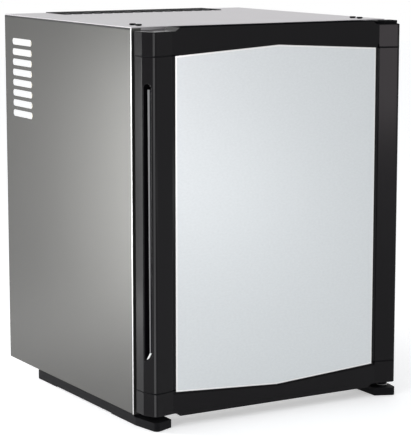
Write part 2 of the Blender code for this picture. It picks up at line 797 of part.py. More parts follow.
def ring(name, low, high, outer, inner, finish):
    """A turned ring on the hinge axis."""
    body = rods(name, [((HINGE_X, HINGE_Y, low), high - low, outer, "z")], finish)
    bore = [((HINGE_X, HINGE_Y, low - OVERCUT), high - low + 2 * OVERCUT, inner, "z")]
    return shade_round(cut(body, rods("bore", bore, finish)))


def hinge_parts():
    """Both pins, their bushes in the door and the washer that carries the door."""
    bush_low = CAP_TOP - BUSH_LENGTH
    washer_low = FOOT_FRONT_TOP + GAP
    washer_top = washer_low + WASHER_THICK
    bottom_bush_top = CAP_BOTTOM + BUSH_LENGTH
    hinge_pin("top_hinge_pin", bush_low + GAP, HEIGHT - GAP)
    hinge_pin("bottom_hinge_pin", FOOT_LIFT, bottom_bush_top - GAP)
    ring("bottom_hinge_washer", washer_low, washer_top, WASHER_RADIUS, PIN_RADIUS + GAP, "zinc_steel")
    bore = PIN_RADIUS + SLIDE_GAP
    return [
        ring("top_hinge_bush", bush_low, CAP_TOP, BUSH_RADIUS, bore, "white_plastic"),
        ring("bottom_hinge_bush", washer_top + GAP, bottom_bush_top, BUSH_RADIUS, bore, "white_plastic"),
    ]


def hole_plug(name, low, dip_low):
    """Dished plug in one of the door's unused hinge holes."""
    body = rods(name, [((-HINGE_X, HINGE_Y, low), PLUG_LENGTH, BUSH_RADIUS, "z")], "black_plastic")
    dip = [((-HINGE_X, HINGE_Y, dip_low), PLUG_DIP + OVERCUT, PLUG_DIP_RADIUS, "z")]
    return shade_round(cut(body, rods("dip", dip, "black_plastic")))


def post_front():
    """Front and outer side of the right-hand post in plan, ridge included."""
    return [
        (WINDOW_HALF, DOOR_Y, 0),
        (HALF_WIDTH - RIDGE_INSET, DOOR_Y - RIDGE_RISE, RIDGE_RADIUS),
        (HALF_WIDTH, DOOR_Y + FACET_BACK, FACET_RADIUS),
        (HALF_WIDTH, DOOR_BACK, 0),
    ]


def post_plan():
    """Plan of the right-hand post, with the ledges for the panel and the liner."""
    edge = LINER_HALF + GAP
    rear = LINER_Y - GAP
    return rounded_outline(
        post_front()
        + [
            (edge, DOOR_BACK, 0),
            (edge, rear, 0),
            (POST_INNER, rear, 0),
            (POST_INNER, DOOR_Y + RECESS_DEPTH, 0),
            (WINDOW_HALF, DOOR_Y + RECESS_DEPTH, 0),
        ]
    )


def post_core(name, side, outer):
    """Cutter for the hollow of a post, open at both ends."""
    low_x, high_x = sorted((side * (POST_INNER + CORE_WALL), side * outer))
    low = (low_x, DOOR_Y + RECESS_DEPTH + CORE_WALL, SEAM_BOTTOM - OVERCUT)
    high = (high_x, LINER_Y - CORE_WALL, SEAM_TOP + OVERCUT)
    return block(name, low, high, "black_gloss")


def door_post(name, side):
    post = prism(name, to_side(post_plan(), side), "z", SEAM_BOTTOM + GAP, SEAM_TOP - GAP, "black_gloss")
    core_outer = HALF_WIDTH - GRIP_DEPTH - CORE_WALL
    return cut(post, post_core("core", side, core_outer))


def grip_groove():
    """Cutter for the grip: a tall slot in the outer facet of the left post."""
    front = DOOR_Y - GRIP_FRONT
    back = front + GRIP_WIDTH
    outline = rounded_outline(
        [
            (front, GRIP_BOTTOM + GRIP_RAMP, 0),
            (back, GRIP_BOTTOM, 0),
            (back, GRIP_TOP, GRIP_ROUND),
            (front, GRIP_TOP, GRIP_ROUND),
        ]
    )
    return prism("groove", outline, "x", -HALF_WIDTH - OVERCUT, -HALF_WIDTH + GRIP_DEPTH, "black_gloss")


def handle_post():
    return cut(door_post("handle_post", -1), grip_groove())


def handle_trim():
    """Bright strip on the front wall of the grip groove."""
    front = DOOR_Y - GRIP_FRONT + GAP
    right = -HALF_WIDTH + GRIP_DEPTH - TRIM_INSET
    low = (right - TRIM_WIDTH, front, GRIP_BOTTOM + GRIP_RAMP + TRIM_INSET)
    high = (right, front + TRIM_THICK, GRIP_TOP - GRIP_ROUND - TRIM_INSET)
    return block("handle_trim", low, high, "bright_strip")


def window_outline(grow, sink=0):
    """The panel's six-sided outline, enlarged by one amount, its lower edge sunk by another."""
    half = PANEL_HALF + grow
    low, high = SEAM_BOTTOM - grow - sink, SEAM_TOP + grow
    lower = [(-half, low), (0, low - PANEL_PEAK), (half, low)]
    return lower + [(half, high), (0, high + PANEL_PEAK), (-half, high)]


def full_width_plan():
    """Plan of a rail moulding: two post shapes and the flat between them."""
    right = rounded_outline(post_front() + [(WINDOW_HALF, DOOR_BACK, 0)])[:-1]
    return right + [(-x, y) for x, y in reversed(right)]


def rail_raise(low, high):
    """The rail's raised middle, sloped at both ends, from low to high."""
    foot = RAISED_HALF + RAISED_SLOPE
    outline = [(-foot, low), (foot, low), (RAISED_HALF, high), (-RAISED_HALF, high)]
    return prism("raise", outline, "y", DOOR_Y, DOOR_BACK, "black_gloss")


def door_rail(name, seam, cap, edge):
    """Moulding across the door, from its seam with the posts to the outer edge."""
    up = 1 if cap > seam else -1
    low, high = sorted((seam + up * GAP, cap))
    rail = prism(name, full_width_plan(), "z", low, high, "black_gloss")
    join(rail, rail_raise(cap - up * OVERCUT, edge))
    recess = prism(
        "recess", window_outline(PANEL_SHADOW), "y", DOOR_Y - OVERCUT, DOOR_Y + RECESS_DEPTH, "black_gloss"
    )
    inner_low, inner_high = sorted((seam - up * OVERCUT, cap - up * DOOR_WALL))
    cavity = block(
        "cavity",
        (-POST_INNER, DOOR_Y + DOOR_WALL, inner_low),
        (POST_INNER, DOOR_BACK + OVERCUT, inner_high),
        "black_gloss",
    )
    liner_low, liner_high = sorted((seam - up * OVERCUT, cap - up * (DOOR_WALL - GAP)))
    rebate = block(
        "rebate",
        (-LINER_HALF - GAP, LINER_Y - GAP, liner_low),
        (LINER_HALF + GAP, DOOR_BACK + OVERCUT, liner_high),
        "black_gloss",
    )
    bore_low, bore_high = sorted((cap + up * OVERCUT, cap - up * (BUSH_LENGTH + GAP)))
    plug_low, plug_high = sorted((cap + up * OVERCUT, cap - up * (PLUG_LENGTH + GAP)))
    bores = [
        ((HINGE_X, HINGE_Y, bore_low), bore_high - bore_low, BUSH_RADIUS + GAP, "z"),
        ((-HINGE_X, HINGE_Y, plug_low), plug_high - plug_low, BUSH_RADIUS + GAP, "z"),
    ]
    return cut(rail, recess, cavity, rebate, rods("bores", bores, "black_gloss"))


def front_panel():
    """Silver sheet with a peak at the middle of its top and bottom edges."""
    front = DOOR_Y + RECESS_DEPTH - GAP - PANEL_THICK
    outline = window_outline(0, PANEL_SINK)
    return prism("front_panel", outline, "y", front, front + PANEL_THICK, "silver_sheet")


def door_foam():
    """Insulation in the door, stepped where the rails' walls cover it."""
    front = DOOR_Y + RECESS_DEPTH + GAP
    stepped = DOOR_Y + DOOR_WALL + GAP
    back = LINER_Y - GAP
    low, high = CAP_BOTTOM + DOOR_WALL + GAP, CAP_TOP - DOOR_WALL - GAP
    outline = [
        (stepped, low),
        (back, low),
        (back, high),
        (stepped, high),
        (stepped, SEAM_TOP - GAP),
        (front, SEAM_TOP - GAP),
        (front, SEAM_BOTTOM + GAP),
        (stepped, SEAM_BOTTOM + GAP),
    ]
    return prism("door_foam", outline, "x", GAP - POST_INNER, POST_INNER - GAP, "foam")


def door_liner():
    """White inner plate of the door with a raised wall round the racks."""
    low, high = CAP_BOTTOM + DOOR_WALL, CAP_TOP - DOOR_WALL
    plate = block("door_liner", (-LINER_HALF, LINER_Y, low), (LINER_HALF, DOOR_BACK, high), "white_plastic")
    dyke = block(
        "dyke",
        (-DYKE_HALF, LINER_Y + LINER_PLATE / 2, DYKE_BOTTOM),
        (DYKE_HALF, DOOR_BACK + DYKE_DEPTH, DYKE_TOP),
        "white_plastic",
    )
    hollow = block(
        "hollow",
        (-DYKE_INNER, DOOR_BACK, DYKE_BOTTOM + DYKE_WALL),
        (DYKE_INNER, DOOR_BACK + DYKE_DEPTH + OVERCUT, DYKE_TOP - DYKE_WALL),
        "white_plastic",
    )
    return cut(join(plate, dyke), hollow)


def door_seal():
    """Flexible seal round the door, a hair off the cabinet's front frame."""
    low_z, high_z = CAP_BOTTOM + SEAL_DROP, CAP_TOP - SEAL_DROP
    low = (-SEAL_HALF, DOOR_BACK + GAP, low_z)
    high = (SEAL_HALF, CASE_Y - GAP, high_z)
    inner = SEAL_HALF - SEAL_WIDTH
    hollow = block(
        "hollow",
        (-inner, DOOR_BACK - OVERCUT, low_z + SEAL_WIDTH),
        (inner, CASE_Y + OVERCUT, high_z - SEAL_WIDTH),
        "black_rubber",
    )
    return cut(block("door_seal", low, high, "black_rubber"), hollow)


def door_rack(name, bottom, height):
    """Open rack that hangs between the sides of the door liner's raised wall."""
    front = DOOR_BACK + GAP
    rack = block(name, (-TRAY_HALF, front, bottom), (TRAY_HALF, TRAY_BACK, bottom + height), "clear_plastic")
    hollow = block(
        "hollow",
        (TRAY_WALL - TRAY_HALF, front + TRAY_WALL, bottom + TRAY_WALL),
        (TRAY_HALF - TRAY_WALL, TRAY_BACK - TRAY_WALL, bottom + height + OVERCUT),
        "clear_plastic",
    )
    return cut(rack, hollow)


def bottle_stop():
    """Saddle that slides on the lower rack's wall, with a fin between bottles."""
    top = LOWER_TRAY_Z + LOWER_TRAY_HEIGHT
    inner = TRAY_BACK - TRAY_WALL - SLIDE_GAP
    outer = TRAY_BACK + SLIDE_GAP
    low = top - STOP_HEIGHT
    roof = top + SLIDE_GAP
    outline = [
        (inner - STOP_WALL, low),
        (inner, low),
        (inner, roof),
        (outer, roof),
        (outer, low),
        (outer + STOP_WALL, low),
        (outer + STOP_WALL, roof + STOP_WALL),
        (inner - STOP_WALL, roof + STOP_WALL),
    ]
    saddle = prism("bottle_stop", outline, "x", -STOP_WIDTH / 2, STOP_WIDTH / 2, "white_plastic")
    fin = block(
        "fin",
        (-STOP_FIN / 2, inner - STOP_REACH, low + STOP_WALL),
        (STOP_FIN / 2, inner - STOP_WALL / 2, roof),
        "white_plastic",
    )
    return join(saddle, fin)


def shelf():
    """Glass shelf on the liner's ledges, with a trim along its front edge."""
    half = INNER_HALF - SLIDE_GAP
    front = CASE_Y + SHELF_SETBACK
    low = (-half, front + GAP, SHELF_Z)
    high = (half, LINER_BACK - SHELF_BACK_GAP, SHELF_Z + SHELF_THICK)
    block("shelf_glass", low, high, "glass")
    bottom, top = SHELF_Z - GAP, SHELF_Z + SHELF_THICK + GAP
    edge = front - SHELF_TRIM_WALL
    outline = [
        (edge, bottom - SHELF_TRIM_WALL),
        (edge + SHELF_TRIM_LIP, bottom - SHELF_TRIM_WALL),
        (edge + SHELF_TRIM_LIP, bottom),
        (front, bottom),
        (front, top),
        (edge + SHELF_TRIM_LIP, top),
        (edge + SHELF_TRIM_LIP, top + SHELF_TRIM_WALL),
        (edge, top + SHELF_TRIM_WALL),
    ]
    return prism("shelf_trim", outline, "x", -half, half, "white_plastic")


def lamp():
    """Lamp and thermostat housing under the roof, with its lens."""
    bottom = INNER_TOP - GAP - LAMP_HEIGHT
    back = DIAL_Y + LAMP_DEPTH
    corner = (LAMP_HALF, back, INNER_TOP - GAP)
    housing = block("lamp_housing", (-LAMP_HALF, DIAL_Y, bottom), corner, "white_plastic")
    middle = DIAL_Y + LAMP_DEPTH / 2
    lens_x = LENS_HALF - LAMP_HALF + CORE_WALL
    sink = block(
        "sink",
        (lens_x - LENS_HALF - GAP, middle - LENS_DEPTH / 2 - GAP, bottom - OVERCUT),
        (lens_x + LENS_HALF + GAP, middle + LENS_DEPTH / 2 + GAP, bottom + LENS_SINK),
        "white_plastic",
    )
    depth = OVERCUT + DIAL_SHAFT_LENGTH + GAP
    shaft = [((DIAL_X, DIAL_Y - OVERCUT, DIAL_Z), depth, DIAL_SHAFT + SLIDE_GAP, "y")]
    cut(housing, sink, rods("shaft_hole", shaft, "white_plastic", 16))
    lens_top = bottom + LENS_SINK - GAP
    return block(
        "lamp_lens",
        (lens_x - LENS_HALF, middle - LENS_DEPTH / 2, lens_top - LENS_THICK),
        (lens_x + LENS_HALF, middle + LENS_DEPTH / 2, lens_top),
        "clear_plastic",
    )


def temperature_dial():
    """Round thermostat knob with a grip bar, on a short shaft."""
    back = DIAL_Y - SLIDE_GAP
    disc = [((DIAL_X, back - DIAL_DEPTH, DIAL_Z), DIAL_DEPTH, DIAL_RADIUS, "y")]
    knob = rods("temperature_dial", disc, "white_plastic", 24)
    overlap = DIAL_DEPTH / 2
    shaft = [((DIAL_X, back - overlap, DIAL_Z), overlap + SLIDE_GAP + DIAL_SHAFT_LENGTH, DIAL_SHAFT, "y")]
    grip = block(
        "grip",
        (DIAL_X - DIAL_GRIP / 2, back - DIAL_DEPTH - DIAL_GRIP, DIAL_Z - DIAL_GRIP_BOTTOM),
        (DIAL_X + DIAL_GRIP / 2, back - overlap, DIAL_Z + DIAL_GRIP_TOP),
        "white_plastic",
    )
    return shade_round(join(knob, grip, rods("shaft", shaft, "white_plastic", 12)))


def evaporator():
    """Finned plate on the rear wall inside, and the cold tube behind it."""
    corners = [
        (CONDENSER_END, WALL_TUBE_END, EVAPORATOR_Z),
        (CONDENSER_END, EVAPORATOR_Y, EVAPORATOR_Z),
        (EVAPORATOR_RIGHT, EVAPORATOR_Y, EVAPORATOR_Z),
        (EVAPORATOR_RIGHT, WALL_TUBE_END, EVAPORATOR_Z),
    ]
    bent_tube("evaporator_tube", corners, TUBE_RADIUS, EVAPORATOR_BEND, "aluminium")
    back = EVAPORATOR_Y - TUBE_RADIUS - GAP
    face = back - PLATE_FIN_THICK
    tip = face - PLATE_FIN_LENGTH
    half = (PLATE_FIN_COUNT - 1) / 2 * PLATE_FIN_PITCH + PLATE_FIN_THICK / 2
    outline = [(half, back), (-half, back)]
    for i in range(PLATE_FIN_COUNT):
        x = (i - (PLATE_FIN_COUNT - 1) / 2) * PLATE_FIN_PITCH
        left, right = x - PLATE_FIN_THICK / 2, x + PLATE_FIN_THICK / 2
        if i > 0:
            outline.append((left, face))
        outline += [(left, tip), (right, tip)]
        if i < PLATE_FIN_COUNT - 1:
            outline.append((right, face))
    low, high = EVAPORATOR_Z - PLATE_FIN_HALF_HEIGHT, EVAPORATOR_Z + PLATE_FIN_HALF_HEIGHT
    return prism("evaporator_fins", outline, "z", low, high, "aluminium")


def boiler():
    """Insulated boiler jacket with the boiler tube and the heater inside it."""
    jacket = block(
        "boiler_jacket",
        (BOILER_X - JACKET_HALF, UNIT_Y - JACKET_HALF, JACKET_BOTTOM),
        (BOILER_X + JACKET_HALF, UNIT_Y + JACKET_HALF, JACKET_TOP),
        "zinc_steel",
    )
    heater_x = BOILER_X + HEATER_OFFSET
    heater_low = JACKET_BOTTOM - HEATER_DROP
    bore_low = JACKET_BOTTOM - OVERCUT
    bores = [
        ((BOILER_X, UNIT_Y, bore_low), JACKET_TOP + OVERCUT - bore_low, BOILER_RADIUS + GAP, "z"),
        ((heater_x, UNIT_Y, bore_low), HEATER_LENGTH, HEATER_RADIUS + GAP, "z"),
    ]
    cut(jacket, rods("bores", bores, "zinc_steel", 24))
    heater = [((heater_x, UNIT_Y, heater_low), HEATER_LENGTH, HEATER_RADIUS, "z")]
    rods("heater_cartridge", heater, "zinc_steel")
    corners = [
        (VESSEL_RIGHT + GAP, UNIT_Y, VESSEL_Z),
        (BOILER_X, UNIT_Y, VESSEL_Z),
        (BOILER_X, UNIT_Y, BOILER_TOP),
    ]
    return bent_tube("boiler_tube", corners, BOILER_RADIUS, BOILER_BEND, "black_steel")


def condenser():
    """Tube from the boiler across the top of the bay, and its finned sleeve."""
    corners = [
        (BOILER_X, UNIT_Y, BOILER_TOP + GAP),
        (BOILER_X, UNIT_Y, CONDENSER_Z),
        (CONDENSER_END, UNIT_Y, CONDENSER_Z),
        (CONDENSER_END, UNIT_Y, EVAPORATOR_Z),
        (CONDENSER_END, WALL_TUBE_END + GAP, EVAPORATOR_Z),
    ]
    bent_tube("condenser_tube", corners, TUBE_RADIUS, COIL_BEND, "black_steel")
    fins = bmesh.new()
    for i in range(FIN_COUNT):
        x = FIN_START + i * FIN_PITCH
        low = (x, UNIT_Y - FIN_HALF, CONDENSER_Z - FIN_HALF)
        add_block(fins, low, (x + FIN_THICK, UNIT_Y + FIN_HALF, CONDENSER_Z + FIN_HALF))
    length = (FIN_COUNT - 1) * FIN_PITCH + FIN_THICK
    collar = [((FIN_START - SHEET, UNIT_Y, CONDENSER_Z), length + 2 * SHEET, TUBE_RADIUS + GAP + SHEET, "x")]
    bore = [((FIN_START - OVERCUT, UNIT_Y, CONDENSER_Z), length + 2 * OVERCUT, TUBE_RADIUS + GAP, "x")]
    sleeve = rods("condenser_fins", collar, "black_steel")
    return cut(join(sleeve, add_object("fins", fins, "black_steel")), rods("bore", bore, "black_steel"))


def absorber():
    """Coil that winds down from the evaporator's return to the vessel."""
    corners = [
        (EVAPORATOR_RIGHT, WALL_TUBE_END + GAP, EVAPORATOR_Z),
        (EVAPORATOR_RIGHT, UNIT_Y, EVAPORATOR_Z),
        (EVAPORATOR_RIGHT, UNIT_Y, COIL_TOP),
    ]
    for level in range(COIL_LEVELS):
        z = COIL_TOP - level * COIL_PITCH
        ends = (COIL_LEFT, COIL_RIGHT) if level % 2 else (COIL_RIGHT, COIL_LEFT)
        if level > 0:
            corners.append((ends[0], UNIT_Y, z))
        corners.append((ends[1], UNIT_Y, z))
    last_x, last_y, last_z = corners.pop()
    drop_x = VESSEL_RIGHT - VESSEL_RADIUS
    corners.append((drop_x, UNIT_Y, last_z))
    corners.append((drop_x, UNIT_Y, VESSEL_Z + VESSEL_RADIUS + GAP))
    bent_tube("absorber_coil", corners, TUBE_RADIUS, COIL_BEND, "black_steel")
    vessel = [((VESSEL_LEFT, UNIT_Y, VESSEL_Z), VESSEL_RIGHT - VESSEL_LEFT, VESSEL_RADIUS, "x")]
    return rods("absorber_vessel", vessel, "black_steel", 24)


def unit_mountings():
    """Straps, saddle and cross brace that hold the cooling unit in its bay."""
    levels = {"lower": JACKET_BOTTOM + STRAP_HEIGHT, "upper": JACKET_TOP - 2 * STRAP_HEIGHT}
    for level, z in levels.items():
        low = (BOILER_X - STRAP_HALF, PLATE_Y + SHEET + GAP, z)
        high = (BOILER_X + STRAP_HALF, UNIT_Y - JACKET_HALF - GAP, z + STRAP_HEIGHT)
        block(f"{level}_boiler_strap", low, high, "zinc_steel")
    middle = (VESSEL_LEFT + VESSEL_RIGHT) / 2
    saddle = block(
        "vessel_saddle",
        (middle - SADDLE_THICK / 2, UNIT_Y - SADDLE_HALF, PAN_TOP),
        (middle + SADDLE_THICK / 2, UNIT_Y + SADDLE_HALF, VESSEL_Z),
        "zinc_steel",
    )
    bed = [((middle - SADDLE_THICK, UNIT_Y, VESSEL_Z), 2 * SADDLE_THICK, VESSEL_RADIUS + GAP, "x")]
    cut(saddle, rods("bed", bed, "zinc_steel", 24))
    back = CASE_BACK - SHEET - GAP
    return block(
        "rear_brace",
        (-SHEET_INSIDE, back - BRACE_THICK, BRACE_Z),
        (SHEET_INSIDE, back, BRACE_Z + BRACE_HEIGHT),
        "zinc_steel",
    )


def control_box():
    """Electrical box in the bay's right-hand corner, with its mains inlet."""
    right = SHEET_INSIDE
    left = right - BOX_WIDTH
    back = UNIT_Y + BOX_HALF_DEPTH
    top = PAN_TOP + BOX_HEIGHT
    block("control_box", (left, UNIT_Y - BOX_HALF_DEPTH, PAN_TOP), (right, back, top), "black_plastic")
    x = (left + right) / 2
    z = PAN_TOP + BOX_HEIGHT / 2
    front = back + GAP
    inlet = block(
        "mains_inlet",
        (x - INLET_HALF_WIDTH, front, z - INLET_HALF_HEIGHT),
        (x + INLET_HALF_WIDTH, front + INLET_DEPTH, z + INLET_HALF_HEIGHT),
        "black_plastic",
    )
    half_width, half_height = INLET_HALF_WIDTH - INLET_WALL, INLET_HALF_HEIGHT - INLET_WALL
    socket = block(
        "socket",
        (x - half_width, front + INLET_WALL, z - half_height),
        (x + half_width, front + INLET_DEPTH + OVERCUT, z + half_height),
        "black_plastic",
    )
    pins = [
        ((x + i * INLET_PIN_PITCH, front + INLET_WALL / 2, z), INLET_DEPTH - INLET_WALL, INLET_PIN, "y")
        for i in (-1, 0, 1)
    ]
    return join(cut(inlet, socket), rods("pins", pins, "black_plastic", 8))


def carry(name, place, pieces):
    """Parents pieces to an empty on their joint's axis and leaves them in place."""
    axis = bpy.data.objects.new(name, None)
    axis.location = place
    bpy.context.scene.collection.objects.link(axis)
    for piece in pieces:
        piece.parent = axis
        piece.matrix_parent_inverse = Matrix.Translation(-Vector(place))
    return axis


def build_cabinet():
    side_panel("side_panel_left", -1)
    side_panel("side_panel_right", 1)
    top_panel()
    lid_screws()
    bottom_pan()
    rear_plate()
    foam_insulation()
    front_frame()
    inner_liner()
    foot_rail("foot_rail_left", -1)
    foot_rail("foot_rail_right", 1)
    foot_screws()
    top_hinge_bracket()
    shelf()
    lamp()
    evaporator()
    boiler()
    condenser()
    absorber()
    unit_mountings()
    control_box()


def build_door():
    """The door's pieces, hung on the hinge axis."""
    pieces = [
        door_rail("door_top_rail", SEAM_TOP, CAP_TOP, HEIGHT),
        door_rail("door_bottom_rail", SEAM_BOTTOM, CAP_BOTTOM, RAIL_BOTTOM),
        handle_post(),
        handle_trim(),
        door_post("hinge_post", 1),
        front_panel(),
        door_foam(),
        door_liner(),
        door_seal(),
        door_rack("upper_door_rack", UPPER_TRAY_Z, UPPER_TRAY_HEIGHT),
        door_rack("lower_door_rack", LOWER_TRAY_Z, LOWER_TRAY_HEIGHT),
        hole_plug("bottom_hole_plug", CAP_BOTTOM, CAP_BOTTOM - OVERCUT),
        hole_plug("top_hole_plug", CAP_TOP - PLUG_LENGTH, CAP_TOP - PLUG_DIP),
    ]
    carry("door_axis", (HINGE_X, HINGE_Y, 0), pieces + hinge_parts())


def build_controls():
    """The two small pieces that move by themselves, each on its own axis."""
    carry("dial_axis", (DIAL_X, DIAL_Y, DIAL_Z), [temperature_dial()])
    stop_place = (0, TRAY_BACK, LOWER_TRAY_Z + LOWER_TRAY_HEIGHT)
    carry("stop_axis", stop_place, [bottle_stop()])


def main():
    clear_scene()
    build_cabinet()
    build_door()
    build_controls()


main()
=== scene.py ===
import math

import bmesh
import bpy
from bpy.props import FloatProperty, FloatVectorProperty, IntProperty, PointerProperty
from mathutils import Matrix, Vector


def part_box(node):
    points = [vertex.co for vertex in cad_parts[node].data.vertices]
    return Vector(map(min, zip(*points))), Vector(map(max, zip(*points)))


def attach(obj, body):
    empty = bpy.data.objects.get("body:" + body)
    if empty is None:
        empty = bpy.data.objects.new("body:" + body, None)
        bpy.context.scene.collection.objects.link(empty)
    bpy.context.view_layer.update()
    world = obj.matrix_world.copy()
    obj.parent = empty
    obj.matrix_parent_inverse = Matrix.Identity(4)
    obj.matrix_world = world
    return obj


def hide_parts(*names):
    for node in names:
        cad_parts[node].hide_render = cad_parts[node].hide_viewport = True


bl_info = {
    "name": "Minibar Fridge",
    "version": (1, 0, 0),
    "blender": (4, 5, 0),
    "location": "View3D > Sidebar > Minibar",
    "description": "Builds the finished sheets, mouldings and cooling unit of a minibar fridge",
    "category": "Add Mesh",
}

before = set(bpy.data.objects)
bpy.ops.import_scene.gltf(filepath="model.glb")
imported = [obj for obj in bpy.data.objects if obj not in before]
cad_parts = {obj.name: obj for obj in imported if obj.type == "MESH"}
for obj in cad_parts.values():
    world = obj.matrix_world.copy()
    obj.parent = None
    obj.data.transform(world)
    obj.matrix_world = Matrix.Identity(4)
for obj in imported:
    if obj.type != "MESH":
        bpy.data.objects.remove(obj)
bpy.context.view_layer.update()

CASE_LOW, CASE_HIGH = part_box("side_panel_left")
LID_LOW, LID_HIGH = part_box("top_panel")
HALF_WIDTH = -CASE_LOW.x
CASE_FRONT = LID_LOW.y
CASE_BACK = LID_HIGH.y
HEIGHT_MIDDLE = (CASE_LOW.z + CASE_HIGH.z) / 2

# A rail of the door is an end cap where it is further than this from the middle
CAP_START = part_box("front_panel")[1].x + 0.005
# Further than these from the case's front lie a cap's curved front and the arc at its outer corner
CAP_NOSE = 0.0335
CAP_ARC = 0.015
# Points of that arc that are closer than this become one, and a cap's side is this wide
ARC_STEP = 0.0008
CAP_SIDE = 0.006
# Places that differ by less than this are level
LEVEL = 0.0001

# Shares of the grip groove's mouth, from its front edge, that its lip, strip and slanted foot take up
LIP_SPAN = (0.0, 0.16)
STRIP_TOP_SPAN = (0.17, 0.43)
STRIP_LOW_SPAN = (0.17, 0.30)
FOOT_TOP_SPAN = (0.06, 0.28)
FOOT_LOW_SPAN = (0.48, 0.70)

# Plan of a hem as shares of its width and drops from its outermost line, like a flattened tube
HEM_BOW = (
    (0.0, 0.0011), (0.05, 0.0006), (0.2, 0.0002), (0.45, 0.0), (0.7, 0.0001), (0.9, 0.0004), (1.0, 0.0008)
)
# One side of the seal's profile as shares of its width and depth, folded in the middle
SEAL_FOLD = ((0.1, 0.0), (0.0, 0.12), (0.0, 0.36), (0.16, 0.5), (0.0, 0.64), (0.0, 0.88), (0.1, 1.0))

DIAL_TRAVEL = math.radians(270)
POINTER_SPAN = (0.3, 0.85)

SHARP_ANGLE = math.radians(30)
HOLLOW_ANGLE = math.radians(40)
FLAT_ANGLE = math.radians(0.5)
WELD = 0.000002
CORNER_SEGMENTS = 5
BUMP_DEPTH = 0.0001
# A face looks along an axis, or across it, where its normal's share on the axis is past these
ALONG = 0.95
ACROSS = 0.1
# A cap's front, a ridge and the sheet's front look forwards, and a ridge outwards, by more than these
CAP_AHEAD = 0.2
RIDGE_AHEAD = 0.3
RIDGE_OUTWARDS = 0.5
STRAIGHT_AHEAD = 0.999

# Each way a flat outline can lie: its two directions, then the one it is raised along
PLANES = {
    "x": Matrix(((0, 0, 1, 0), (1, 0, 0, 0), (0, 1, 0, 0), (0, 0, 0, 1))),
    "y": Matrix(((1, 0, 0, 0), (0, 0, 1, 0), (0, 1, 0, 0), (0, 0, 0, 1))),
    "z": Matrix.Identity(4),
}


def length(name, description, default):
    """A length that the user can change."""
    return FloatProperty(name=name, description=description, default=default, unit="LENGTH")


def paint(name, description, default):
    """A colour that the user can change."""
    return FloatVectorProperty(name=name, description=description, subtype="COLOR", default=default)


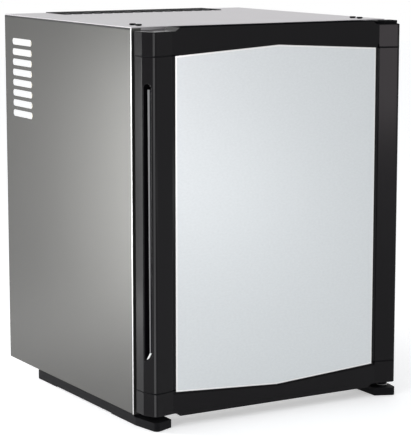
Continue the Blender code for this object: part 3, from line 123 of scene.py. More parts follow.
class FridgeSizes(bpy.types.PropertyGroup):
    """Sizes of the details that are added to the fridge's solids."""

    sheet_edge: length("Sheet edge", "Rounding of the painted sheets", 0.00035)
    sheet: length("Sheet", "Thickness of the case's sheets", 0.001)
    lid_lap: length("Lid lap", "How far the lips and the insert keep off the lid's outside", 0.0006)
    rear_lip_inset: length("Rear lip inset", "Distance of the lid's rear lip from the sides", 0.0103)
    front_lip_inset: length("Front lip inset", "Distance of the lid's front lip from front and sides", 0.0013)
    rear_flange: length("Rear flange", "Width of a side sheet's rear flange", 0.010)
    lid_corner: length("Lid corner", "Corner radius of the lid", 0.0015)
    lid_plate: length("Lid plate", "Thickness of the lid's face", 0.0012)
    hem_width: length("Hem width", "Width of a side sheet's folded front edge", 0.004)
    hem_rise: length("Hem rise", "Height of the folded edge over the side sheet", 0.0003)
    # The next four size the black strip of painted shade that stands for the shadow line under the lid's rim
    lid_joint: length("Lid joint", "Height of the dark joint under the lid's rim", 0.0021)
    joint_inset: length("Joint inset", "Distance of the joint's strip from the outside", 0.0006)
    strip_thickness: length("Strip thickness", "Thickness of the strip in the lid's joint", 0.0012)
    strip_drop: length("Strip drop", "Distance of the joint's strip from the lid's top", 0.0008)
    # The next four place the black strip of painted shade behind the lid's slots, whose labels call it the
    # rear lip's lining
    slot_shade_inset: length("Lining inset", "Distance of the rear lip's lining from the sides", 0.012)
    slot_shade_depth: length("Lining depth", "Distance of the lining's front from the back", 0.0055)
    slot_shade_gap: length("Lining gap", "Distance of the lining's rear from the back", 0.0012)
    slot_shade_drop: length("Lining drop", "Distance of the lining from the lid's top", 0.0014)
    side_slots: IntProperty(name="Side slots", description="Vent slots in each side sheet", default=8)
    side_slot_length: length("Side slot length", "Length of a side slot", 0.065)
    side_slot_height: length("Side slot height", "Height of a side slot", 0.0094)
    side_slot_pitch: length("Side slot pitch", "Distance from one side slot to the next", 0.0149)
    side_slot_back: length("Side slot margin", "Distance of the side slots from the back", 0.025)
    side_slot_drop: length("Side slot drop", "Distance of the first side slot from the lid's top", 0.0382)
    side_slot_corner: length("Side slot corner", "Corner radius of a side slot", 0.0044)
    lid_slots: IntProperty(name="Lid slots", description="Vent slots in the lid", default=16)
    lid_slot_length: length("Lid slot length", "Length of a lid slot", 0.045)
    lid_slot_width: length("Lid slot width", "Width of a lid slot", 0.010)
    lid_slot_margin: length("Lid slot margin", "Distance of the outermost lid slots from the sides", 0.0735)
    lid_slot_back: length("Lid slot setback", "Distance of the lid slots from the back", 0.008)
    lid_slot_corner: length("Lid slot corner", "Corner radius of a lid slot", 0.004)
    grille_lap: length("Grille lap", "Width of the insert's rim round a slot", 0.0015)
    grille_notch: length("Grille notch", "Depth of the scallops in the insert's front edge", 0.016)
    grille_front: length("Grille front", "Reach of the insert in front of the slots", 0.010)
    grille_rise: length("Grille rise", "Height of the insert above the lid", 0.001)
    grille_inset: length("Grille inset", "How much smaller the insert's slots are all round", 0.0006)
    moulding_edge: length("Moulding edge", "Rounding of the door's mouldings and racks", 0.0009)
    panel_rim: length("Panel rim", "Width of the turned rim of the front sheet", 0.0021)
    panel_rim_drop: length("Panel rim drop", "How far the rim of the front sheet turns back", 0.0007)
    mouth_step: length("Mouth step", "How far the groove's mouth comes outwards, front to rear", 0.00486)
    mouth_depth: length("Mouth depth", "Depth of the groove's mouth, front to rear", 0.0108)
    trim_sheet: length("Trim sheet", "Thickness of the grip's strip and lip", 0.0008)
    trim_foot: length("Trim foot", "Height of the bend at the strip's foot", 0.0018)
    trim_foot_drop: length("Trim foot drop", "Drop of the strip's foot", 0.0092)
    cap_rim: length("Cap rim", "Radius of the outer rims of the rails' end caps", 0.0027)
    ridge_width: length("Ridge width", "Widest face that is part of a post's ridge", 0.002)
    tongue_inset: length("Tongue inset", "Distance of the tongues from the posts' sides", 0.0007)
    tongue_length: length("Tongue length", "Reach of the tongues past the posts", 0.0016)
    seal_width: length("Seal width", "Width of the door seal, seen from the front", 0.014)
    seal_corner: length("Seal corner", "Inner corner radius of the door seal", 0.002)
    dial_tick: length("Dial tick", "Length of the shortest tick and its gap to the dial", 0.0009)
    dial_tick_growth: length("Dial tick growth", "How much longer each next tick is", 0.0001)
    dial_ticks: IntProperty(name="Dial ticks", description="Ticks round the dial", default=7)
    tick_width: length("Tick width", "Width of a tick", 0.0008)
    tick_rise: length("Tick rise", "Height of a tick over the housing", 0.0003)
    pointer_width: length("Pointer width", "Width of the dial's pointer", 0.0012)
    pointer_rise: length("Pointer rise", "Height of the pointer over the dial", 0.0002)
    pointer_sink: length("Pointer sink", "Depth of the pointer in the dial", 0.0006)
    liner_corner: length("Liner corner", "Corner radius inside the cabinet's liner", 0.012)
    door_liner_corner: length("Door liner corner", "Corner radius inside the door's liner", 0.004)
    door_liner_edge: length("Door liner edge", "Rounding of the door's liner", 0.0015)
    housing_edge: length("Housing edge", "Rounding of the lamp's and the mains side's boxes", 0.0012)
    soft_edge: length("Soft edge", "Rounding of the liner and the foot rails", 0.0008)
    screw_edge: length("Screw edge", "Rounding of the lid's screws", 0.0007)
    middle_edge: length("Middle edge", "Rounding of the shelf, lens, dial and jacket", 0.0006)
    thin_edge: length("Thin edge", "Rounding of thin frames and trims", 0.0005)
    small_edge: length("Small edge", "Rounding of small parts", 0.0004)
    fin_edge: length("Fin edge", "Rounding of the cold plate's fins", 0.0003)
    fine_edge: length("Fine edge", "Rounding of strips and inserts", 0.0002)
    hair_edge: length("Hair edge", "Rounding of the grip's strip and the dial's marks", 0.0001)
    vessel_edge: length("Vessel edge", "Rounding of the absorber vessel's ends", 0.006)


class FridgeFinishes(bpy.types.PropertyGroup):
    """Colours of the fridge's finishes."""

    side_paint: paint("Side paint", "Metallic grey of the side sheets", (0.079, 0.078, 0.074))
    lid_paint: paint("Lid paint", "Pale grey of the lid", (0.53, 0.51, 0.525))
    # Gloss black also underlies the painted highlight on the handle post's ridge and the top of its cap
    black_gloss: paint("Gloss black", "Black of the door's mouldings", (0.0035, 0.003, 0.004))
    # Matt black also colours the painted shade on the mouldings' tops and the painted-shade strip behind the
    # lid's slots
    black_plastic: paint("Matt black", "Black of feet, plugs and housings", (0.006, 0.006, 0.007))
    # The seal's colour also colours the strips of painted shade under the lid's rim
    seal_rubber: paint("Seal", "Colour of the door's flexible seal", (0.012, 0.012, 0.012))
    panel_silver: paint("Panel silver", "Colour of the door's front sheet", (0.625, 0.655, 0.665))
    white_plastic: paint("White plastic", "Colour of the liner and racks", (0.80, 0.80, 0.78))
    foam: paint("Foam", "Colour of the insulation", (0.76, 0.71, 0.58))
    zinc: paint("Zinc", "Colour of the plated steel", (0.58, 0.58, 0.58))
    aluminium: paint("Aluminium", "Colour of bare aluminium", (0.74, 0.74, 0.75))
    unit_black: paint("Unit black", "Paint of the cooling unit's steel", (0.022, 0.022, 0.023))
    clear_plastic: paint("Clear plastic", "Tint of the lamp's lens", (0.86, 0.9, 0.92))
    shelf_glass: paint("Shelf glass", "Tint of the glass shelf", (0.80, 0.92, 0.88))
    # Also the colour of the painted highlight on the side sheets' hems and on the grip strip's foot
    cut_edge_and_highlight: paint("Cut edge", "Colour of bare sheet edges", (0.8, 0.8, 0.79))
    bright_strip: paint("Bright strip", "Colour of the strip in the grip groove", (0.19, 0.19, 0.195))


def sizes():
    return bpy.context.scene.fridge_sizes


def colours():
    return bpy.context.scene.fridge_finishes


# Shader groups

COLOUR, NUMBER, VECTOR = "NodeSocketColor", "NodeSocketFloat", "NodeSocketVector"


def new_group(name, inputs):
    """An empty shader group with named inputs, whose outputs are a colour, a roughness and a height."""
    group = bpy.data.node_groups.new(name, "ShaderNodeTree")
    for label, kind in inputs:
        group.interface.new_socket(name=label, in_out="INPUT", socket_type=kind)
    for label, kind in (("Colour", COLOUR), ("Roughness", NUMBER), ("Height", NUMBER)):
        group.interface.new_socket(name=label, in_out="OUTPUT", socket_type=kind)
    return group, group.nodes.new("NodeGroupInput").outputs


def feed(tree, socket, value):
    """Sets a socket to a number or links another socket to it."""
    if isinstance(value, float):
        socket.default_value = value
    else:
        tree.links.new(value, socket)


def math_node(tree, operation, first, second):
    """A math node whose two inputs are sockets or numbers."""
    node = tree.nodes.new("ShaderNodeMath")
    node.operation = operation
    feed(tree, node.inputs[0], first)
    feed(tree, node.inputs[1], second)
    return node.outputs[0]


def vector_node(tree, operation, vector, factor, label):
    """A vector node that scales a vector or multiplies it, its factor led to the input of a label."""
    node = tree.nodes.new("ShaderNodeVectorMath")
    node.operation = operation
    tree.links.new(vector, node.inputs[0])
    tree.links.new(factor, node.inputs[label])
    return node.outputs["Vector"]


def noise_node(tree, place, scale, detail):
    """Noise at a place. The scale is a number or a socket."""
    node = tree.nodes.new("ShaderNodeTexNoise")
    feed(tree, node.inputs["Vector"], place)
    feed(tree, node.inputs["Scale"], scale)
    feed(tree, node.inputs["Detail"], detail)
    return node.outputs["Fac"]


def swing_node(tree, mask, amount):
    """Minus to plus half the amount, where the mask is low or high."""
    return math_node(tree, "MULTIPLY", math_node(tree, "SUBTRACT", mask, 0.5), amount)


def shade_colour(tree, colour, amount, mask):
    """The colour made darker and lighter by an amount, where the mask is low or high."""
    level = math_node(tree, "ADD", swing_node(tree, mask, amount), 1.0)
    return vector_node(tree, "SCALE", colour, level, "Scale")


def close_group(group, given, colour, mask, gloss, height):
    """Leads the colour, a roughness that the mask makes uneven, and the height out of the group."""
    result = group.nodes.new("NodeGroupOutput").inputs
    roughness = math_node(group, "ADD", given["Roughness"], swing_node(group, mask, gloss))
    for label, socket in (("Colour", colour), ("Roughness", roughness), ("Height", height)):
        group.links.new(socket, result[label])


def surface_group():
    """Fine grain, soft handling marks and an uneven gloss, for paint and moulded plastic."""
    name = "Grain and marks"
    if name in bpy.data.node_groups:
        return bpy.data.node_groups[name]
    numbers = ("Roughness", "Grain Scale", "Grain Colour", "Marks Scale", "Marks Colour", "Marks Gloss")
    group, given = new_group(name, [("Colour", COLOUR)] + [(label, NUMBER) for label in numbers])
    place = group.nodes.new("ShaderNodeTexCoord").outputs["Object"]
    grain = noise_node(group, place, given["Grain Scale"], detail=2.0)
    marks = noise_node(group, place, given["Marks Scale"], detail=4.0)
    grained = shade_colour(group, given["Colour"], given["Grain Colour"], grain)
    marked = shade_colour(group, grained, given["Marks Colour"], marks)
    close_group(group, given, marked, marks, given["Marks Gloss"], grain)
    return group


def brushed_group():
    """Long fine streaks along one direction, for drawn and brushed metal."""
    name = "Brushed streaks"
    if name in bpy.data.node_groups:
        return bpy.data.node_groups[name]
    numbers = [(label, NUMBER) for label in ("Roughness", "Streak Colour", "Streak Gloss")]
    group, given = new_group(name, [("Colour", COLOUR), ("Stretch", VECTOR)] + numbers)
    place = group.nodes.new("ShaderNodeTexCoord").outputs["Object"]
    stretched = vector_node(group, "MULTIPLY", place, given["Stretch"], 1)
    streaks = noise_node(group, stretched, 1.0, detail=3.0)
    streaked = shade_colour(group, given["Colour"], given["Streak Colour"], streaks)
    close_group(group, given, streaked, streaks, given["Streak Gloss"], streaks)
    return group


# Materials


def add_material(name, group, values, colour, bump, settings):
    """A Principled material whose colour, roughness and bump come from a group."""
    if name in bpy.data.materials:
        return bpy.data.materials[name]
    material = bpy.data.materials.new(name)
    material.use_nodes = True
    tree = material.node_tree
    shader = tree.nodes["Principled BSDF"]
    effect = tree.nodes.new("ShaderNodeGroup")
    effect.node_tree = group
    effect.inputs["Colour"].default_value = (*colour, 1.0)
    for label, value in values.items():
        effect.inputs[label].default_value = value
    relief = tree.nodes.new("ShaderNodeBump")
    relief.inputs["Strength"].default_value = bump
    relief.inputs["Distance"].default_value = BUMP_DEPTH
    tree.links.new(effect.outputs["Height"], relief.inputs["Height"])
    tree.links.new(relief.outputs["Normal"], shader.inputs["Normal"])
    tree.links.new(effect.outputs["Colour"], shader.inputs["Base Color"])
    tree.links.new(effect.outputs["Roughness"], shader.inputs["Roughness"])
    for label, value in settings.items():
        shader.inputs[label].default_value = value
    material.diffuse_color = (*colour, 1.0)
    return material


def coated(name, colour, roughness, grain, marks, bump, settings):
    """Paint or plastic. Grain and marks hold a scale and a strength in colour, marks also one in gloss."""
    labels = ("Roughness", "Grain Scale", "Grain Colour", "Marks Scale", "Marks Colour", "Marks Gloss")
    values = dict(zip(labels, (roughness, *grain, *marks)))
    return add_material(name, surface_group(), values, colour, bump, settings)


def brushed(name, colour, roughness, stretch, streaks, bump, settings):
    """Drawn or brushed metal. Streaks hold a strength in colour and one in gloss."""
    labels = ("Roughness", "Stretch", "Streak Colour", "Streak Gloss")
    values = dict(zip(labels, (roughness, stretch, *streaks)))
    return add_material(name, brushed_group(), values, colour, bump, settings)


def side_paint():
    return coated(
        "Side paint",
        colours().side_paint,
        roughness=0.37,
        grain=(2600.0, 0.16),
        marks=(5.0, 0.03, 0.06),
        bump=0.12,
        settings={"Metallic": 0.8},
    )


def lid_paint():
    return coated(
        "Lid paint",
        colours().lid_paint,
        roughness=0.42,
        grain=(2200.0, 0.12),
        marks=(38.0, 0.09, 0.06),
        bump=0.12,
        settings={"Metallic": 0.25},
    )


def black_gloss():
    return coated(
        "Gloss black moulding",
        colours().black_gloss,
        roughness=0.16,
        grain=(900.0, 0.06),
        marks=(9.0, 0.04, 0.08),
        bump=0.05,
        settings={"Specular IOR Level": 0.13},
    )


# Painted highlight: the gloss black with a stronger reflection, for the handle post's ridge and the top of
# its cap
def black_painted_highlight():
    return coated(
        "Painted highlight on gloss black",
        colours().black_gloss,
        roughness=0.2,
        grain=(900.0, 0.06),
        marks=(30.0, 0.04, 0.1),
        bump=0.05,
        settings={"Specular IOR Level": 0.65},
    )


# Painted shade: a black that reflects nothing, for the mouldings' upward tops, which lie in shade
def black_painted_shade():
    return coated(
        "Painted shade on black",
        colours().black_plastic,
        roughness=0.8,
        grain=(1500.0, 0.2),
        marks=(30.0, 0.04, 0.12),
        bump=0.4,
        settings={"Specular IOR Level": 0.0},
    )


def black_plastic():
    return coated(
        "Matt black plastic",
        colours().black_plastic,
        roughness=0.55,
        grain=(1500.0, 0.2),
        marks=(30.0, 0.04, 0.12),
        bump=0.6,
        settings={"Specular IOR Level": 0.06},
    )


def seal_rubber():
    return coated(
        "Seal rubber",
        colours().seal_rubber,
        roughness=0.62,
        grain=(700.0, 0.2),
        marks=(40.0, 0.04, 0.1),
        bump=0.3,
        settings={},
    )


def silver_sheet():
    return brushed(
        "Satin silver sheet",
        colours().panel_silver,
        roughness=0.32,
        stretch=(260.0, 420.0, 420.0),
        streaks=(0.13, 0.08),
        bump=0.08,
        settings={"Metallic": 0.55},
    )


# Bright bare finish: the front sheet's real cut edge, and a painted highlight on the side sheets' hems and
# the grip strip's slanted foot
def bare_edge_and_highlight():
    return brushed(
        "Cut sheet edge and painted highlight",
        colours().cut_edge_and_highlight,
        roughness=0.3,
        stretch=(400.0, 400.0, 1800.0),
        streaks=(0.1, 0.1),
        bump=0.1,
        settings={"Metallic": 0.5},
    )


def white_plastic():
    return coated(
        "White plastic",
        colours().white_plastic,
        roughness=0.34,
        grain=(800.0, 0.02),
        marks=(10.0, 0.02, 0.06),
        bump=0.12,
        settings={},
    )


def clear_plastic():
    return coated(
        "Clear plastic",
        colours().clear_plastic,
        roughness=0.12,
        grain=(600.0, 0.03),
        marks=(12.0, 0.04, 0.06),
        bump=0.05,
        settings={"Transmission Weight": 0.85, "IOR": 1.49},
    )


def shelf_glass():
    return coated(
        "Shelf glass",
        colours().shelf_glass,
        roughness=0.04,
        grain=(300.0, 0.02),
        marks=(8.0, 0.04, 0.02),
        bump=0.02,
        settings={"Transmission Weight": 0.95, "IOR": 1.52},
    )


def foam():
    return coated(
        "Rigid foam",
        colours().foam,
        roughness=0.9,
        grain=(500.0, 0.35),
        marks=(60.0, 0.2, 0.06),
        bump=1.0,
        settings={},
    )


def zinc_steel():
    return coated(
        "Zinc plated steel",
        colours().zinc,
        roughness=0.36,
        grain=(260.0, 0.18),
        marks=(50.0, 0.2, 0.06),
        bump=0.1,
        settings={"Metallic": 0.9},
    )


def bright_strip():
    return brushed(
        "Bright strip",
        colours().bright_strip,
        roughness=0.42,
        stretch=(1400.0, 1400.0, 30.0),
        streaks=(0.1, 0.1),
        bump=0.05,
        settings={"Metallic": 1.0},
    )


def bare_aluminium():
    return brushed(
        "Bare aluminium",
        colours().aluminium,
        roughness=0.3,
        stretch=(1200.0, 60.0, 1200.0),
        streaks=(0.14, 0.1),
        bump=0.1,
        settings={"Metallic": 1.0},
    )


def black_steel():
    return coated(
        "Black unit paint",
        colours().unit_black,
        roughness=0.45,
        grain=(420.0, 0.3),
        marks=(26.0, 0.04, 0.2),
        bump=0.35,
        settings={"Metallic": 0.2},
    )


# Each slot has the finish of its name
SLOT_FINISHES = (side_paint, lid_paint, black_gloss, black_plastic, seal_rubber, silver_sheet, white_plastic)
SLOT_FINISHES += (clear_plastic, shelf_glass, foam, zinc_steel, bright_strip, bare_aluminium, black_steel)
FINISH_OF_SLOT = {finish.__name__: finish for finish in SLOT_FINISHES}


# Mesh tools


def bevel(bm, items, width, segments, affect="EDGES"):
    """Rounds edges or corners of a mesh."""
    shape = {"offset": width, "segments": segments, "profile": 0.5, "clamp_overlap": affect == "EDGES"}
    bmesh.ops.bevel(bm, geom=items, affect=affect, material=-1, **shape)


def rounded_corners(corners, radii):
    """The corners of an outline, each rounded to its radius, as points in order."""
    scratch = bmesh.new()
    verts = [scratch.verts.new((first, second, 0)) for first, second in corners]
    scratch.faces.new(verts)
    for radius in sorted(set(radii)):
        if radius:
            chosen = [vert for vert, own in zip(verts, radii) if own == radius]
            bevel(scratch, chosen, radius, CORNER_SEGMENTS, affect="VERTICES")
    scratch.faces.ensure_lookup_table()
    points = [(vert.co.x, vert.co.y) for vert in scratch.faces[0].verts]
    scratch.free()
    return points


def rectangle(low, high, radius):
    """A rounded rectangle between two corners."""
    corners = [(low[0], low[1]), (high[0], low[1]), (high[0], high[1]), (low[0], high[1])]
    return rounded_corners(corners, [radius] * 4)


def new_verts(items):
    """The vertices among the items that an operator returned."""
    return [item for item in items if isinstance(item, bmesh.types.BMVert)]


def add_plate(bm, axis, low, high, outline, holes=()):
    """Adds a plate of one outline, raised along an axis from low to high, with holes."""
    edges = []
    for ring in (outline, *holes):
        verts = [bm.verts.new((first, second, low)) for first, second in ring]
        edges += [bm.edges.new(pair) for pair in zip(verts, verts[1:] + verts[:1])]
    if holes:
        filled = bmesh.ops.triangle_fill(bm, edges=edges, use_beauty=True)["geom"]
        faces = [item for item in filled if isinstance(item, bmesh.types.BMFace)]
    else:
        faces = [bm.faces.new(verts)]
    flat = {vert for face in faces for vert in face.verts}
    raised = new_verts(bmesh.ops.extrude_face_region(bm, geom=faces)["geom"])
    bmesh.ops.translate(bm, vec=(0, 0, high - low), verts=raised)
    bmesh.ops.transform(bm, matrix=PLANES[axis], verts=list(flat | set(raised)))


def add_box(bm, low, high):
    """Adds a box between two corners."""
    low, high = Vector(low), Vector(high)
    place = Matrix.Translation((low + high) / 2) @ Matrix.Diagonal((*(high - low), 1))
    return bmesh.ops.create_cube(bm, size=1.0, matrix=place)["verts"]


def soften(bm, width):
    """Rounds every sharp edge of a mesh."""
    bmesh.ops.recalc_face_normals(bm, faces=bm.faces)
    sharp = [edge for edge in bm.edges if edge.is_manifold and edge.calc_face_angle(0) > SHARP_ANGLE]
    bevel(bm, sharp, width, segments=2)


def fill_corners(bm, width):
    """Rounds the inner corners of a mesh."""
    joined = [edge for edge in bm.edges if edge.is_manifold]
    hollow = [edge for edge in joined if edge.calc_face_angle_signed(0) < -HOLLOW_ANGLE]
    bevel(bm, hollow, width, CORNER_SEGMENTS)


def add_object(name, data):
    """Adds an object to the scene."""
    item = bpy.data.objects.new(name, data)
    bpy.context.scene.collection.objects.link(item)
    return item


def mesh_object(name, bm, finish):
    """Adds an object of the mesh and one finish."""
    mesh = bpy.data.meshes.new(name)
    bm.to_mesh(mesh)
    bm.free()
    mesh.materials.append(finish)
    return add_object(name, mesh)


def finish_piece(name, bm, slot, nodes=(), body="cabinet", degrees=35, recalculate=True):
    """Makes the mesh a piece that rides on its body and stands for its nodes."""
    if recalculate:
        bmesh.ops.recalc_face_normals(bm, faces=bm.faces)
    piece = mesh_object(name, bm, FINISH_OF_SLOT[slot]())
    piece.data.shade_smooth()
    piece.data.set_sharp_from_angle(angle=math.radians(degrees))
    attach(piece, body)
    if nodes:
        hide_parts(*nodes)
    return piece


def add_finish(piece, finish, belongs):
    """Gives a piece one more finish, on the faces that belong to it."""
    piece.data.materials.append(finish)
    number = len(piece.data.materials) - 1
    for face in piece.data.polygons:
        if belongs(face):
            face.material_index = number


def even_shading(piece):
    """Keeps large flat faces flat beside their rounded edges."""
    weighted = piece.modifiers.new("Even shading", "WEIGHTED_NORMAL")
    weighted.keep_sharp = True


def round_edges(piece, width, segments, degrees):
    """Rounds the edges of a piece that are sharper than an angle."""
    edge = piece.modifiers.new("Rounded edges", "BEVEL")
    edge.width = width
    edge.segments = segments
    edge.limit_method = "ANGLE"
    edge.angle_limit = math.radians(degrees)


def node_mesh(node):
    """A copy of a node's mesh, its loose triangles merged into flat faces."""
    bm = bmesh.new()
    bm.from_mesh(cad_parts[node].data)
    bmesh.ops.remove_doubles(bm, verts=bm.verts, dist=WELD)
    bmesh.ops.dissolve_limit(bm, angle_limit=FLAT_ANGLE, verts=bm.verts, edges=bm.edges)
    return bm


def round_node(
    node, slot, width, body="cabinet", segments=2, degrees=35, least=30, fillet=0, prepare=None
):
    """Stands for a node with the same shape, its edges rounded and its inner corners filled."""
    bm = node_mesh(node)
    if fillet:
        fill_corners(bm, fillet)
    if prepare:
        prepare(bm)
    piece = finish_piece(f"{node}_finished", bm, slot, [node], body, degrees, recalculate=False)
    if width:
        round_edges(piece, width, segments, least)
    even_shading(piece)
    return piece


def dress_node(node, slot):
    """Gives a carried-over node its finish."""
    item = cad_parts[node]
    item.data.materials.clear()
    item.data.materials.append(FINISH_OF_SLOT[slot]())


# Pieces of the case


def side_slot_outlines():
    """Outlines of the vent slots in a side sheet, in depth and height."""
    own = sizes()
    back, half = CASE_BACK - own.side_slot_back, own.side_slot_height / 2
    front, first = back - own.side_slot_length, LID_HIGH.z - own.side_slot_drop
    return [
        rectangle((front, middle - half), (back, middle + half), own.side_slot_corner)
        for middle in (first - number * own.side_slot_pitch for number in range(own.side_slots))
    ]


def hem_outline(side, front):
    """Plan of a side sheet's folded front edge."""
    own = sizes()
    outside = side * HALF_WIDTH
    root = outside - side * own.sheet
    outer = [(outside - side * drop, front + share * own.hem_width) for share, drop in HEM_BOW]
    return [(root, front)] + outer + [(root, front + own.hem_width)]


def side_sheet(name, node):
    """Folded side sheet: its face with slots, a raised front hem and two flanges."""
    own = sizes()
    low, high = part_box(node)
    side = 1 if low.x > 0 else -1
    outside = side * HALF_WIDTH
    face_out = outside - side * own.hem_rise
    bm = bmesh.new()
    face = rectangle((low.y, low.z), (high.y, high.z - own.lid_joint), 0)
    add_plate(bm, "x", *sorted((face_out, outside - side * own.sheet)), face, side_slot_outlines())
    for depth, width in ((low.y, high.x - low.x), (high.y - own.sheet, own.rear_flange)):
        left, right = sorted((face_out, outside - side * width))
        add_plate(bm, "y", depth, depth + own.sheet, rectangle((left, low.z), (right, high.z), 0))
    soften(bm, own.sheet_edge)
    add_plate(bm, "z", low.z, high.z, hem_outline(side, low.y))
    piece = finish_piece(name, bm, "side_paint", [node])
    # The hem gets the bright finish as a painted highlight along the folded edge
    hem_back, hem_side = low.y + own.hem_width, HALF_WIDTH - own.hem_rise
    add_finish(piece, bare_edge_and_highlight(), lambda face: face.center.y < hem_back and abs(face.center.x) > hem_side)
    even_shading(piece)


def lid_slot_middles():
    """Places of the lid's slots across the fridge."""
    own = sizes()
    pitch = (2 * HALF_WIDTH - 2 * own.lid_slot_margin) / (own.lid_slots - 1)
    return [own.lid_slot_margin - HALF_WIDTH + number * pitch for number in range(own.lid_slots)]


def lid_slot_outlines(inset=0.0):
    """Outlines of the lid's slots, each drawn in by an inset."""
    own = sizes()
    back = CASE_BACK - own.lid_slot_back - inset
    front = CASE_BACK - own.lid_slot_back - own.lid_slot_length + inset
    half = own.lid_slot_width / 2 - inset
    return [
        rectangle((middle - half, front), (middle + half, back), own.lid_slot_corner - inset)
        for middle in lid_slot_middles()
    ]


def lid_grille():
    """Black vent insert over the lid's slots, its front edge scalloped from slot to slot."""
    own = sizes()
    front = CASE_BACK - own.lid_slot_back - own.lid_slot_length - own.grille_front
    notch = front + own.grille_notch
    half = own.lid_slot_width / 2 + own.grille_lap
    back = CASE_BACK - own.lid_lap
    corners, radii = [], []
    for middle in lid_slot_middles():
        left, right = middle - half, middle + half
        corners += [(left, notch), (left, front), (right, front), (right, notch)]
        radii += [0, own.lid_slot_corner, own.lid_slot_corner, 0]
    corners[0] = (corners[0][0], back)
    corners[-1] = (corners[-1][0], back)
    bm = bmesh.new()
    low, high = LID_HIGH.z - own.sheet_edge, LID_HIGH.z + own.grille_rise
    add_plate(bm, "z", low, high, rounded_corners(corners, radii), lid_slot_outlines(own.grille_inset))
    soften(bm, own.fine_edge)
    even_shading(finish_piece("lid_vent_grille", bm, "black_plastic"))


def lid_sheet():
    """Lid with its row of slots at the rear and a rounded rim."""
    own = sizes()
    bm = bmesh.new()
    outline = rectangle((-HALF_WIDTH, CASE_FRONT), (HALF_WIDTH, CASE_BACK), own.lid_corner)
    add_plate(bm, "z", LID_HIGH.z - own.lid_plate, LID_HIGH.z, outline, lid_slot_outlines())
    top = LID_HIGH.z - own.lid_lap
    half = HALF_WIDTH - own.rear_lip_inset
    add_box(bm, (-half, CASE_BACK - own.sheet, LID_LOW.z), (half, CASE_BACK, top))
    half = HALF_WIDTH - own.front_lip_inset
    front = CASE_FRONT + own.front_lip_inset
    add_box(bm, (-half, front, LID_LOW.z), (half, front + own.sheet, top))
    soften(bm, own.sheet_edge)
    even_shading(finish_piece("lid_sheet", bm, "lid_paint", ["top_panel"]))


def add_strip(name, low, high, edge, slot, body="cabinet"):
    """A straight strip between two corners, its edges rounded."""
    bm = bmesh.new()
    add_box(bm, low, high)
    soften(bm, edge)
    finish_piece(name, bm, slot, body=body)


def rim_shade_strip(name, side):
    """Black strip of painted shade in the joint between the lid and a side sheet, the shadow line under the
    lid's rim.
    """
    own = sizes()
    outside = side * (HALF_WIDTH - own.joint_inset)
    left, right = sorted((outside, outside - side * own.strip_thickness))
    bottom, top = CASE_HIGH.z - own.lid_joint - own.sheet, LID_HIGH.z - own.strip_drop
    front, back = CASE_FRONT + own.joint_inset, CASE_BACK - own.joint_inset
    add_strip(name, (left, front, bottom), (right, back, top), own.fine_edge, "seal_rubber")


def slot_shade_strip():
    """Black strip of painted shade along the lid's rear lip, behind the slots, where the bay under the lid
    lies in shade.
    """
    own = sizes()
    half = HALF_WIDTH - own.slot_shade_inset
    low = (-half, CASE_BACK - own.slot_shade_depth, LID_LOW.z + own.sheet)
    high = (half, CASE_BACK - own.slot_shade_gap, LID_HIGH.z - own.slot_shade_drop)
    add_strip("rear_lip_painted_shade", low, high, own.small_edge, "black_plastic")


# Pieces of the door


def add_groove_bar(bm, low_span, low_z, high_span, high_z):
    """Adds a thin bar in the mouth of the grip groove, whose span differs from its low to its high end."""
    own = sizes()
    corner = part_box("handle_trim")[0]
    rings = []
    for span, z in ((low_span, low_z), (high_span, high_z)):
        outer = [(corner.x - own.mouth_step * share, corner.y + own.mouth_depth * share) for share in span]
        inner = [(x + own.trim_sheet, y) for x, y in reversed(outer)]
        rings.append([bm.verts.new((x, y, z)) for x, y in outer + inner])
    add_band(bm, *rings)
    for ring in rings:
        bm.faces.new(ring)


def add_band(bm, ring, after):
    """Joins two rings of vertices with a band of faces."""
    for number, vert in enumerate(ring):
        bm.faces.new((ring[number - 1], vert, after[number], after[number - 1]))


def grip_trim():
    """Bright strip in the grip groove's mouth, narrower below, with a slanted foot and a black lip."""
    own = sizes()
    low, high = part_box("handle_trim")
    foot = low.z + own.trim_foot
    bm = bmesh.new()
    add_groove_bar(bm, STRIP_LOW_SPAN, foot, STRIP_TOP_SPAN, high.z)
    add_groove_bar(bm, FOOT_LOW_SPAN, foot - own.trim_foot_drop, FOOT_TOP_SPAN, foot)
    soften(bm, own.hair_edge)
    piece = finish_piece("grip_trim", bm, "bright_strip", ["handle_trim"], "door")
    # The slanted foot gets the bright finish as a painted highlight
    foot_top = foot - own.small_edge
    add_finish(piece, bare_edge_and_highlight(), lambda face: face.center.z < foot_top)
    even_shading(piece)
    bm = bmesh.new()
    add_groove_bar(bm, LIP_SPAN, foot, LIP_SPAN, high.z)
    soften(bm, own.hair_edge)
    finish_piece("grip_lip", bm, "black_plastic", body="door")


def panel_sheet():
    """Satin front sheet of the door, peaked at top and bottom, with its bare cut edge."""
    own = sizes()
    low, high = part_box("front_panel")
    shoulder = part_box("handle_post")[1].z
    foot = low.z + (high.z - shoulder)
    outline = [(low.x, foot), (0, low.z), (high.x, foot), (high.x, shoulder), (0, high.z), (low.x, shoulder)]
    bm = bmesh.new()
    add_plate(bm, "y", low.y, high.y, outline)
    bmesh.ops.recalc_face_normals(bm, faces=bm.faces)
    front = [face for face in bm.faces if face.normal.y < -ALONG]
    turned = bmesh.ops.inset_region(bm, faces=front, thickness=own.panel_rim, use_even_offset=True)["faces"]
    rim = {vert for face in turned for vert in face.verts} - {vert for face in front for vert in face.verts}
    bmesh.ops.translate(bm, vec=(0, own.panel_rim_drop, 0), verts=list(rim))
    piece = finish_piece("panel_sheet", bm, "silver_sheet", ["front_panel"], "door", degrees=60)
    add_finish(piece, bare_edge_and_highlight(), lambda face: face.normal.y > -STRAIGHT_AHEAD)
    even_shading(piece)


